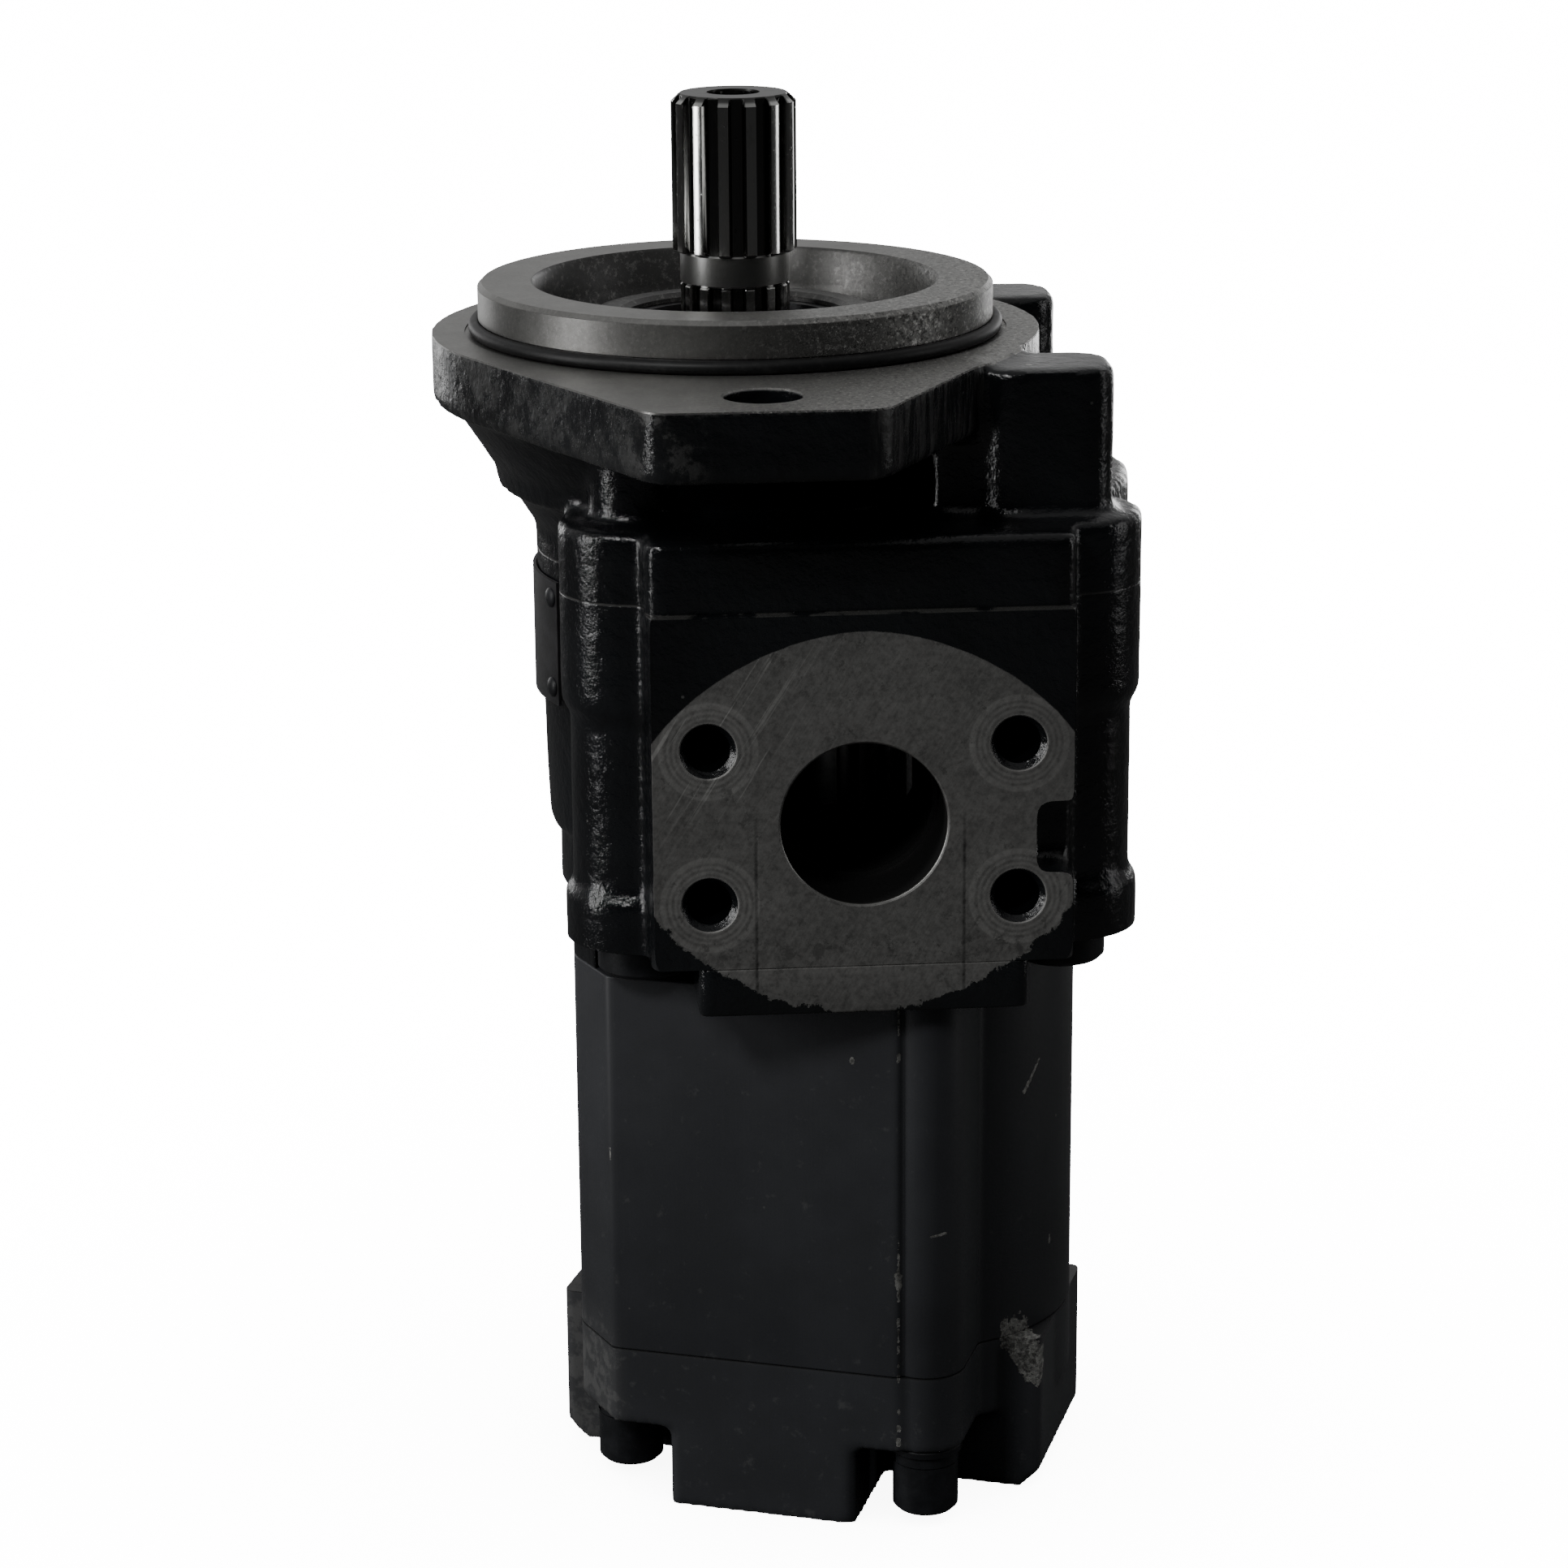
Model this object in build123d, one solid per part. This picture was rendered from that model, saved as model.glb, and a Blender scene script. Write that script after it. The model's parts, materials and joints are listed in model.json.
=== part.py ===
from build123d import *
from math import acos, cos, pi, radians, sin, tan
import os

# Tandem external gear pump: a cast-iron front pump and an extruded rear pump on one shaft line.
# Millimetres. The origin is on the drive shaft's axis, in the mounting face of the flange.
# +Z runs out along the shaft, -Y is the inlet side, and the front idler gear lies towards +X.

# ---- mounting end
PILOT_RADIUS = 50.8
PILOT_HEIGHT = 9.7
PILOT_BORE_RADIUS = 39.6
PILOT_CHAMFER = 0.9
FLANGE_RADIUS = 60.0
FLANGE_THICKNESS = 13.5
EAR_REACH = 88.0
EAR_HALF_WIDTH = 23.5
EAR_CORNER = 6.0
MOUNT_HOLE_SPACING = 146.0
MOUNT_HOLE_RADIUS = 7.15
CAVITY_FLOOR = -2.0
SEAL_BOSS_TOP = 3.5
SEAL_BOSS_TOP_RADIUS = 27.0
SEAL_BOSS_FOOT_RADIUS = 33.0
SEAL_BORE_RADIUS = 22.0
SEAL_BORE_FLOOR = -8.2
CORD_RADIUS = 1.4
CORD_RELIEF_RADII = (49.9, 53.5)
CORD_RELIEF_LEVELS = (-0.3, 2.6)
LOBE_X = (43.0, 68.8)
LOBE_Y = 40.3
LOBE_WIDTH = 20.6
LOBE_TOP = -0.7
NECK_TOP_RADIUS = 57.0
NECK_FOOT_RADIUS = 41.0
NECK_CORE_RADIUS = 48.0
PILLAR_RADIUS = 9.0
RETAINING_GROOVE = (0.15, 1.75)
SEAL_POCKET = (16.0, 19.9)
SHAFT_TUNNEL_RADIUS = 14.6

# ---- levels along the shaft, from the shaft end down to the rear end
SHAFT_TOP = 46.0
SLAB_TOP = -29.0
COVER_BOTTOM = -43.0
WAIST_TOP = -65.0
PAD_BOTTOM = -100.0
WAIST_BOTTOM = -102.0
HOUSING_BOTTOM = -112.0
ADAPTER_BOTTOM = -121.5
ADAPTER_LIP_MIDDLE = 19.05
ADAPTER_LIP_WIDTH = 63.3
BODY_BOTTOM = -200.7
BOLT_SEAT = -217.0
REAR_END = -233.8

# ---- drive shaft
SPLINE_TEETH = 14
SPLINE_TIP = 12.25
SPLINE_ROOT = 10.6
SPLINE_BOTTOM = 15.3
NECK_RADIUS = 10.8
NECK_BOTTOM = 9.1
TAIL_TIP = 10.75
TAIL_ROOT = 9.4
TAIL_BOTTOM = -34.0
SPLINE_TIP_HALF_ANGLE = 4.8
SPLINE_ROOT_HALF_ANGLE = 7.0
SPLINE_FIRST_ANGLE = -77.7
SPLINE_CLEARANCE = 0.06
SPLINE_BEVEL = 1.6

# ---- front pump
FRONT_CENTRES = 38.0
FRONT_MIDDLE = FRONT_CENTRES / 2
FRONT_END_RADIUS = 40.4
FRONT_DRAFT_ANGLE = 1.6
FRONT_FOOT_RADIUS = 36.8
COLUMN_X = 41.0
COLUMN_Y = 40.0
COLUMN_RADIUS = 15.0
WAIST_RADIUS = 13.4
PORT_FACE = 65.4
PORT_HALF_WIDTH = 40.6
POCKET_LEVELS = (-94.5, -80.5)
FRONT_GEAR_TOP = -66.0
FRONT_GEAR_BOTTOM = -96.0
FRONT_JOURNAL = 14.0
FRONT_HUB_TOP = -1.5
FRONT_BUSH_RADIUS = 16.0
FRONT_JOINT_SEAL = (24.4, 26.8)
FRONT_BLOCK_SEAL = (17.6, 19.6)

# ---- ports of the front pump
PORT_LEVEL = -84.0
INLET_RADIUS = 15.875
INLET_HOLES = (58.74, 30.18)
OUTLET_RADIUS = 12.7
OUTLET_HOLES = (52.37, 26.19)
PORT_BORE_DEPTH = 18.0
INLET_THROAT_RADIUS = 15.0
OUTLET_THROAT_RADIUS = 11.9
PORT_TAP_RADIUS = 4.25
PORT_TAP_DEPTH = 20.0

# ---- rear pump, drawn with its idler gear towards +X and then turned about the shaft's axis
REAR_TURN = -20.0
REAR_CENTRES = 35.0
REAR_MIDDLE = REAR_CENTRES / 2
REAR_END_RADIUS = 34.0
REAR_PAD_FACE = 47.0
REAR_PAD_LEFT = -14.3
REAR_PAD_RIGHT = 45.3
REAR_FLAT_LEFT = -25.7
REAR_FLAT_RIGHT = 56.4
REAR_BEVEL = (-23.6, -36.9)
REAR_GEAR_TOP = -143.7
REAR_GEAR_BOTTOM = -178.7
REAR_JOURNAL = 11.0
REAR_BUSH_RADIUS = 13.0
REAR_JOINT_SEAL = (21.6, 23.8)
REAR_BLOCK_SEAL = (16.0, 18.2)
REAR_PORT_LEVEL = -161.0
REAR_OUTLET_RADIUS = 8.5
REAR_OUTLET_DEPTH = 14.0
REAR_THROAT_RADIUS = 7.7
REAR_OUTLET_PCD = 40.0
REAR_TAP_RADIUS = 3.4
LUG_LEFT = -33.3
LUG_RIGHT = 68.2
LUG_FRONT = -21.6
LUG_BACK = 18.5
LUG_TOP = -202.5
REAR_RECESS_RADIUS = 9.0
COVER_WEB_LEFT = -3.0
COVER_WEB_RIGHT = 36.0

# ---- nameplate
PLATE_RADIUS = 40.5
PLATE_THICKNESS = 0.7
PLATE_SPAN = (154.0, 206.0)
PLATE_LEVELS = (-72.0, -47.0)
RIVET_ANGLES = (158.0, 202.0)
RIVET_LEVELS = (-68.6, -50.4)
RIVET_RADIUS = 1.2
RIVET_HEAD_RADIUS = 2.0

# ---- gears
GEAR_TEETH = 12
PRESSURE_ANGLE = radians(28.0)
ADDENDUM = 0.93
DEDENDUM = 1.15
FLANK_THINNING = 0.22
RUNNING_GAP = 0.08

# ---- fasteners, dowels and quill
FRONT_BOLT_RADIUS = 6.0
FRONT_HEAD_RADIUS = 9.0
FRONT_WASHER_RADIUS = 10.0
FRONT_BOLT_TIP = -26.0
FRONT_HEAD_HEIGHT = 5.5
REAR_BOLT_RADIUS = 4.0
REAR_HEAD_RADIUS = 6.6
REAR_HEAD_HEIGHT = 10.4
REAR_WASHER_RADIUS = 7.4
REAR_BOLT_TIP = -115.0
PLATE_SCREW_RADIUS = 3.0
PLATE_SCREW_TIP = -104.0
PLATE_SCREW_HEAD_RADIUS = 4.8
PLATE_SCREW_HEAD_HEIGHT = 4.0
PLATE_SCREW_SINK = 4.4
WASHER_THICKNESS = 2.0
PLAIN_WASHER_THICKNESS = 1.6
SPRING_WASHER_THICKNESS = 2.4
SPRING_WASHER_RADIUS = 6.7
DOWEL_RADIUS = 4.0
PLATE_DOWEL_RADIUS = 2.5
FIT = 0.05
HOLE_GAP = 0.3
QUILL_TEETH = 12
QUILL_TIP = 7.0
QUILL_ROOT = 6.1
QUILL_TOP = -91.0
QUILL_BOTTOM = -141.0
DUCT_SPOT = (29.0, -33.5)
DUCT_RADIUS = 6.0

FRONT_BOLT_SPOTS = [(FRONT_MIDDLE + i * COLUMN_X, j * COLUMN_Y) for i in (-1, 1) for j in (-1, 1)]
REAR_COLUMNS = [((-16.0, -31.0), 9.7), ((48.4, -38.4), 8.0)]
REAR_COLUMNS += [((REAR_CENTRES - x, -y), radius) for (x, y), radius in REAR_COLUMNS[:2]]
REAR_BOLT_SPOTS = [spot for spot, radius in REAR_COLUMNS]
PLATE_SCREW_SPOTS = [(0.0, -58.0), (44.0, -59.0), (-6.0, 58.0), (38.0, 58.0)]
COVER_DOWEL_SPOTS = [(-31.0, 0.0), (69.0, 0.0)]
PLATE_DOWEL_SPOTS = [(-27.5, 10.0), (63.5, -16.0)]
REAR_DOWEL_SPOTS = [(-28.6, 0.0), (63.6, 0.0)]

TURN = Rot(0, 0, REAR_TURN)


# ---- plain shapes
def rod(radius, low, high, spot=(0.0, 0.0)):
    """Upright cylinder between two levels."""
    return Pos(spot[0], spot[1], (low + high) / 2) * Cylinder(radius, high - low)


def tube(outer, inner, low, high, spot=(0.0, 0.0)):
    """Upright ring between two levels."""
    return rod(outer, low, high, spot) - rod(inner, low - 1, high + 1, spot)


def raise_up(outline, low, high):
    """Flat outline made into a slab between two levels."""
    return Pos(0, 0, low) * extrude(outline, high - low)


def box_between(x, y, z):
    """Box from three (low, high) pairs."""
    middle = [(low + high) / 2 for low, high in (x, y, z)]
    return Pos(*middle) * Box(x[1] - x[0], y[1] - y[0], z[1] - z[0])


def drill_along_y(radius, x, z, start, end):
    """Cylinder along Y between two Y values."""
    length = abs(end - start)
    return Pos(x, (start + end) / 2, z) * Rot(90, 0, 0) * Cylinder(radius, length)


def stadium(centres, radius):
    """Outline round two equal circles on the X axis."""
    bar = Pos(centres / 2, 0) * Rectangle(centres, 2 * radius)
    return Circle(radius) + Pos(centres, 0) * Circle(radius) + bar


def figure_eight(centres, radius):
    """Outline of two overlapping circles on the X axis."""
    return Circle(radius) + Pos(centres, 0) * Circle(radius)


def seal_band(shape, centres, band, low, height):
    """Ring between two offsets of an outline."""
    outer = raise_up(shape(centres, band[1]), low, low + height)
    return outer - raise_up(shape(centres, band[0]), low - 1, low + height + 1)


def polar(radius, angle):
    """Point at a radius and an angle in degrees."""
    return (radius * cos(radians(angle)), radius * sin(radians(angle)))


def toothed_outline(count, tip, root, tip_half, root_half, first):
    """Spline outline with straight flanks and round tips and roots."""
    pitch = 360.0 / count
    edges = []
    for index in range(count):
        middle = first + index * pitch
        low = polar(root, middle - root_half)
        low_tip = polar(tip, middle - tip_half)
        high_tip = polar(tip, middle + tip_half)
        high = polar(root, middle + root_half)
        following = polar(root, middle + pitch - root_half)
        edges.append(Line(low, low_tip))
        edges.append(ThreePointArc(low_tip, polar(tip, middle), high_tip))
        edges.append(Line(high_tip, high))
        edges.append(ThreePointArc(high, polar(root, middle + pitch / 2), following))
    return make_face(edges)


def gear_outline(centres, first):
    """Involute gear outline; two of them mesh at the given centre distance."""
    module = centres / GEAR_TEETH
    pitch_radius = centres / 2
    base = pitch_radius * cos(PRESSURE_ANGLE)
    tip = pitch_radius + ADDENDUM * module
    root = pitch_radius - DEDENDUM * module
    half_at_pitch = (pi * module / 2 - FLANK_THINNING) / (2 * pitch_radius)
    half_at_base = half_at_pitch + tan(PRESSURE_ANGLE) - PRESSURE_ANGLE
    pitch = 2 * pi / GEAR_TEETH

    def flank_point(radius, middle, side):
        roll = acos(base / radius)
        angle = middle + side * (half_at_base - (tan(roll) - roll))
        return (radius * cos(angle), radius * sin(angle))

    stations = [base + (tip - base) * share for share in (0.0, 0.12, 0.4, 0.7, 1.0)]
    edges = []
    for index in range(GEAR_TEETH):
        middle = radians(first) + index * pitch
        rising = [flank_point(radius, middle, -1) for radius in stations]
        falling = [flank_point(radius, middle, 1) for radius in reversed(stations)]
        foot_in = (root * cos(middle - half_at_base), root * sin(middle - half_at_base))
        foot_out = (root * cos(middle + half_at_base), root * sin(middle + half_at_base))
        gap = middle + pitch / 2
        next_foot = middle + pitch - half_at_base
        edges.append(Line(foot_in, rising[0]))
        edges.append(Spline(*rising))
        edges.append(ThreePointArc(rising[-1], (tip * cos(middle), tip * sin(middle)), falling[0]))
        edges.append(Spline(*falling))
        edges.append(Line(falling[-1], foot_out))
        floor = (root * cos(gap), root * sin(gap))
        edges.append(ThreePointArc(foot_out, floor, (root * cos(next_foot), root * sin(next_foot))))
    return make_face(edges)


def gear_tip(centres):
    """Tip radius of the gears at a centre distance."""
    return centres / 2 + ADDENDUM * centres / GEAR_TEETH


def chamfered_rod(radius, low, high, spot=(0.0, 0.0), size=0.8):
    """Cylinder with both end edges broken."""
    body = rod(radius, low, high, spot)
    return chamfer(body.edges().filter_by(GeomType.CIRCLE), size)


# ---- outlines of the castings
def flange_outline():
    """Two-bolt flange: a disc drawn out into a flat-ended ear on each side."""
    ears = RectangleRounded(2 * EAR_HALF_WIDTH, 2 * EAR_REACH, EAR_CORNER)
    return make_hull((Circle(FLANGE_RADIUS) + ears).edges())


def front_core_outline(end_radius):
    """Round-ended core of the front pump with filled corners."""
    fill = Pos(FRONT_MIDDLE, 0) * Rectangle(2 * COLUMN_X, 2 * COLUMN_Y)
    return stadium(FRONT_CENTRES, end_radius) + fill


def port_boss_outline(face):
    """Plan of the two port bosses, with broken corners."""
    return Pos(FRONT_MIDDLE, 0) * RectangleRounded(2 * PORT_HALF_WIDTH, 2 * face, 3.0)


def rear_outline():
    """Rear body's plan: round ends, four bolt columns and two flat pads."""
    plan = stadium(REAR_CENTRES, REAR_END_RADIUS)
    for (x, y), radius in REAR_COLUMNS:
        plan += Pos(x, y) * Circle(radius)
    for turn in (0, 180):
        place = Pos(REAR_MIDDLE, 0) * Rot(0, 0, turn) * Pos(-REAR_MIDDLE, 0)
        pad = Polygon(
            (REAR_PAD_LEFT, 0), (REAR_PAD_LEFT, -REAR_PAD_FACE),
            (REAR_PAD_RIGHT, -REAR_PAD_FACE), (REAR_PAD_RIGHT, 0), align=None)
        left = Polygon(
            (REAR_PAD_LEFT, 0), (REAR_FLAT_LEFT, 0), (REAR_FLAT_LEFT, REAR_COLUMNS[0][0][1]),
            REAR_BEVEL, (REAR_PAD_LEFT, -REAR_PAD_FACE), align=None)
        shoulder = REAR_COLUMNS[1][0][1]
        right = Polygon(
            (40, shoulder), (REAR_FLAT_RIGHT, shoulder), (REAR_FLAT_RIGHT, -10), (40, -10), align=None)
        plan += place * (pad + left + right)
    return plan


# ---- shaft-end cover and its seals
def make_shaft_end_cover():
    """Casting with the mounting flange, pilot, seal bore and bolt bosses."""
    body = raise_up(flange_outline(), -FLANGE_THICKNESS, 0)
    pilot = rod(PILOT_RADIUS, -1, PILOT_HEIGHT)
    body += chamfer(pilot.edges().group_by(Axis.Z)[-1], PILOT_CHAMFER)
    body -= tube(CORD_RELIEF_RADII[1], CORD_RELIEF_RADII[0], *CORD_RELIEF_LEVELS)
    neck_top = -FLANGE_THICKNESS + 1
    neck_foot = SLAB_TOP - 8
    neck = Cone(NECK_FOOT_RADIUS, NECK_TOP_RADIUS, neck_top - neck_foot)
    body += Pos(0, 0, (neck_top + neck_foot) / 2) * neck
    slab = front_core_outline(FRONT_END_RADIUS) + port_boss_outline(PORT_FACE - 1.6)
    body += raise_up(slab, COVER_BOTTOM, SLAB_TOP)
    for spot in FRONT_BOLT_SPOTS:
        body += rod(COLUMN_RADIUS, COVER_BOTTOM, SLAB_TOP, spot)
        body += rod(PILLAR_RADIUS, SLAB_TOP - 1, neck_top, spot)
    for side in (-1, 1):
        lobe_middle = (LOBE_X[0] + LOBE_X[1]) / 2
        lobe = Pos(lobe_middle, side * LOBE_Y) * RectangleRounded(LOBE_X[1] - LOBE_X[0], LOBE_WIDTH, 7.0)
        root = Pos(45, side * 37) * Rectangle(22, 20)
        body += raise_up(lobe, SLAB_TOP - 1, LOBE_TOP)
        body += raise_up(root, SLAB_TOP - 1, neck_top)
    body += rod(NECK_CORE_RADIUS, SLAB_TOP - 1, neck_top)
    body -= rod(PILOT_BORE_RADIUS, CAVITY_FLOOR, PILOT_HEIGHT + 1)
    boss_height = SEAL_BOSS_TOP - CAVITY_FLOOR
    boss = Pos(0, 0, CAVITY_FLOOR + boss_height / 2)
    body += boss * Cone(SEAL_BOSS_FOOT_RADIUS, SEAL_BOSS_TOP_RADIUS, boss_height)
    body -= rod(SEAL_BORE_RADIUS, SEAL_BORE_FLOOR, SEAL_BOSS_TOP + 1)
    body -= rod(SEAL_BORE_RADIUS + 1.2, *RETAINING_GROOVE)
    body -= rod(SHAFT_TUNNEL_RADIUS, COVER_BOTTOM - 1, SEAL_BORE_FLOOR + 1)
    for side in (-1, 1):
        spot = (0, side * MOUNT_HOLE_SPACING / 2)
        body -= rod(MOUNT_HOLE_RADIUS, -FLANGE_THICKNESS - 1, 1, spot)
    for spot in FRONT_BOLT_SPOTS:
        body -= rod(FRONT_BOLT_RADIUS + FIT, COVER_BOTTOM - 1, FRONT_BOLT_TIP + 0.8, spot)
    for spot in COVER_DOWEL_SPOTS:
        body -= rod(DOWEL_RADIUS + FIT, COVER_BOTTOM - 1, COVER_BOTTOM + 8.2, spot)
    return body


def make_pilot_cord_ring():
    """Round-section ring lying in the relief at the pilot's foot."""
    level = CORD_RELIEF_LEVELS[0] + CORD_RADIUS + 0.02
    return Pos(0, 0, level) * Torus(CORD_RELIEF_RADII[0] + CORD_RADIUS + 0.04, CORD_RADIUS)


def make_shaft_seal():
    """Lip seal with an open pocket facing the shaft end."""
    ring = tube(SEAL_BORE_RADIUS - FIT, FRONT_JOURNAL + 0.04, SEAL_BORE_FLOOR + 0.1, 0)
    return ring - tube(SEAL_POCKET[1], SEAL_POCKET[0], SEAL_BORE_FLOOR + 2.6, 1)


def make_seal_retaining_ring():
    """Internal retaining ring with a gap and two lug eyes."""
    low = RETAINING_GROOVE[0] + 0.1
    high = RETAINING_GROOVE[1] - 0.1
    eyes = [polar(SEAL_BORE_RADIUS - 3.4, angle) for angle in (-104, -76)]
    ring = tube(SEAL_BORE_RADIUS + 1.0, SEAL_BORE_RADIUS - 2.2, low, high)
    for spot in eyes:
        ring += rod(2.4, low, high, spot)
    ring -= Pos(0, -SEAL_BORE_RADIUS, 1) * Box(5.0, 12.0, 4.0)
    for spot in eyes:
        ring -= rod(1.1, low - 1, high + 1, spot)
    return ring


# ---- drive train
def shaft_spline(tip, root, grow=0.0):
    """Outline of one of the drive shaft's two splines."""
    return toothed_outline(
        SPLINE_TEETH, tip + grow, root + grow,
        SPLINE_TIP_HALF_ANGLE + grow * 4, SPLINE_ROOT_HALF_ANGLE + grow * 4, SPLINE_FIRST_ANGLE)


def quill_spline(grow=0.0):
    """Outline of the coupling quill's spline."""
    return toothed_outline(QUILL_TEETH, QUILL_TIP + grow, QUILL_ROOT + grow, 6 + 5 * grow, 9 + 5 * grow, 0)


def cone_trim(radius, level, bevel, up):
    """Solid of revolution that bevels the end of a splined length."""
    reach = radius + 2
    height = reach - (radius - bevel)
    sign = 1 if up else -1
    low, high = sorted((level, level - sign * height))
    cone = Cone(reach, radius - bevel, height) if up else Cone(radius - bevel, reach, height)
    return Pos(0, 0, (low + high) / 2) * cone


def make_drive_shaft():
    """Stub shaft: output spline, plain neck, tail spline and a centre in its end."""
    bevel = SPLINE_BEVEL
    long_spline = raise_up(shaft_spline(SPLINE_TIP, SPLINE_ROOT), SPLINE_BOTTOM, SHAFT_TOP)
    shape = cone_trim(SPLINE_TIP, SHAFT_TOP, bevel, True)
    shape += rod(SPLINE_TIP + 2, SPLINE_BOTTOM, SHAFT_TOP - bevel - 2)
    body = long_spline & shape
    body += rod(NECK_RADIUS, NECK_BOTTOM, SPLINE_BOTTOM + 0.5)
    tail = raise_up(shaft_spline(TAIL_TIP, TAIL_ROOT), TAIL_BOTTOM, NECK_BOTTOM + 0.2)
    body += tail
    body -= rod(5.2, SHAFT_TOP - 2.2, SHAFT_TOP + 1)
    body -= Pos(0, 0, SHAFT_TOP - 5.4) * Cone(0.4, 4.0, 6.6)
    return body


def make_front_drive_gear():
    """Front driving gear with a hollow splined hub and a splined rear journal."""
    body = raise_up(gear_outline(FRONT_CENTRES, 0), FRONT_GEAR_BOTTOM, FRONT_GEAR_TOP)
    body += chamfered_rod(FRONT_JOURNAL, HOUSING_BOTTOM + 0.5, FRONT_HUB_TOP)
    bore = shaft_spline(TAIL_TIP, TAIL_ROOT, SPLINE_CLEARANCE)
    body -= raise_up(bore, TAIL_BOTTOM - 3, FRONT_HUB_TOP + 1)
    body -= raise_up(quill_spline(0.08), HOUSING_BOTTOM - 1, QUILL_TOP + 1.5)
    return body


def make_idler_gear(centres, spot_angle, journal, span, journal_span):
    """Driven gear at its own centre, half a tooth out of step with the driving gear."""
    half_pitch = 180.0 / GEAR_TEETH
    body = raise_up(gear_outline(centres, half_pitch), *span)
    body += chamfered_rod(journal, *journal_span)
    for level, sign in ((journal_span[0], -1), (journal_span[1], 1)):
        body -= Pos(0, 0, level - sign * 1.5) * Cone(1.0 if sign > 0 else 3.5, 3.5 if sign > 0 else 1.0, 4.0)
    return Rot(0, 0, spot_angle) * Pos(centres, 0, 0) * body


def make_coupling_quill():
    """Short splined quill that passes the drive to the rear pump."""
    return raise_up(quill_spline(), QUILL_BOTTOM, QUILL_TOP) & chamfered_rod(
        QUILL_TIP + 0.01, QUILL_BOTTOM, QUILL_TOP)


def make_rear_drive_gear():
    """Rear driving gear with a splined bore in its front journal."""
    body = raise_up(gear_outline(REAR_CENTRES, 0), REAR_GEAR_BOTTOM, REAR_GEAR_TOP)
    body += chamfered_rod(REAR_JOURNAL, BODY_BOTTOM + 0.7, ADAPTER_BOTTOM - 0.5)
    body = TURN * body
    return body - raise_up(quill_spline(0.08), QUILL_BOTTOM - 1.5, ADAPTER_BOTTOM + 1)


# ---- bearing blocks, bushes and block seals
def make_bearing_block(centres, bush, band, low, high, seal_side, turn):
    """Figure-eight bearing block with a seal groove on one face and oil reliefs on the other."""
    plan = figure_eight(centres, gear_tip(centres) + 0.04)
    body = raise_up(plan, low, high)
    for x in (0, centres):
        body -= rod(bush, low - 1, high + 1, (x, 0))
    seal_level = high - 2.0 if seal_side > 0 else low
    body -= seal_band(figure_eight, centres, band, seal_level, 2.0)
    relief = low if seal_side > 0 else high - 2.0
    middle = centres / 2
    for side in (-1, 1):
        reach = sorted((side * 3.0, side * 12.0))
        body -= box_between((middle - 3.5, middle + 3.5), reach, (relief, relief + 2.0))
    return Rot(0, 0, turn) * body


def make_block_seal(centres, band, low, turn):
    """Figure-eight seal in a bearing block's groove."""
    inner = (band[0] + FIT, band[1] - FIT)
    return Rot(0, 0, turn) * seal_band(figure_eight, centres, inner, low, 1.95)


def make_bushes(centres, outer, journal, low, high, turn):
    """Two bearing bushes, one for each journal."""
    bushes = [tube(outer - 0.02, journal + 0.03, low, high, (x, 0)) for x in (0, centres)]
    return [Rot(0, 0, turn) * bush for bush in bushes]


# ---- front housing
def port_holes(holes, side):
    """Tapped holes of a four-bolt port."""
    cuts = []
    for i in (-1, 1):
        for j in (-1, 1):
            x = FRONT_MIDDLE + i * holes[0] / 2
            z = PORT_LEVEL + j * holes[1] / 2
            face = side * PORT_FACE
            cuts.append(drill_along_y(PORT_TAP_RADIUS, x, z, face + side, face - side * PORT_TAP_DEPTH))
    return cuts


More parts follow.
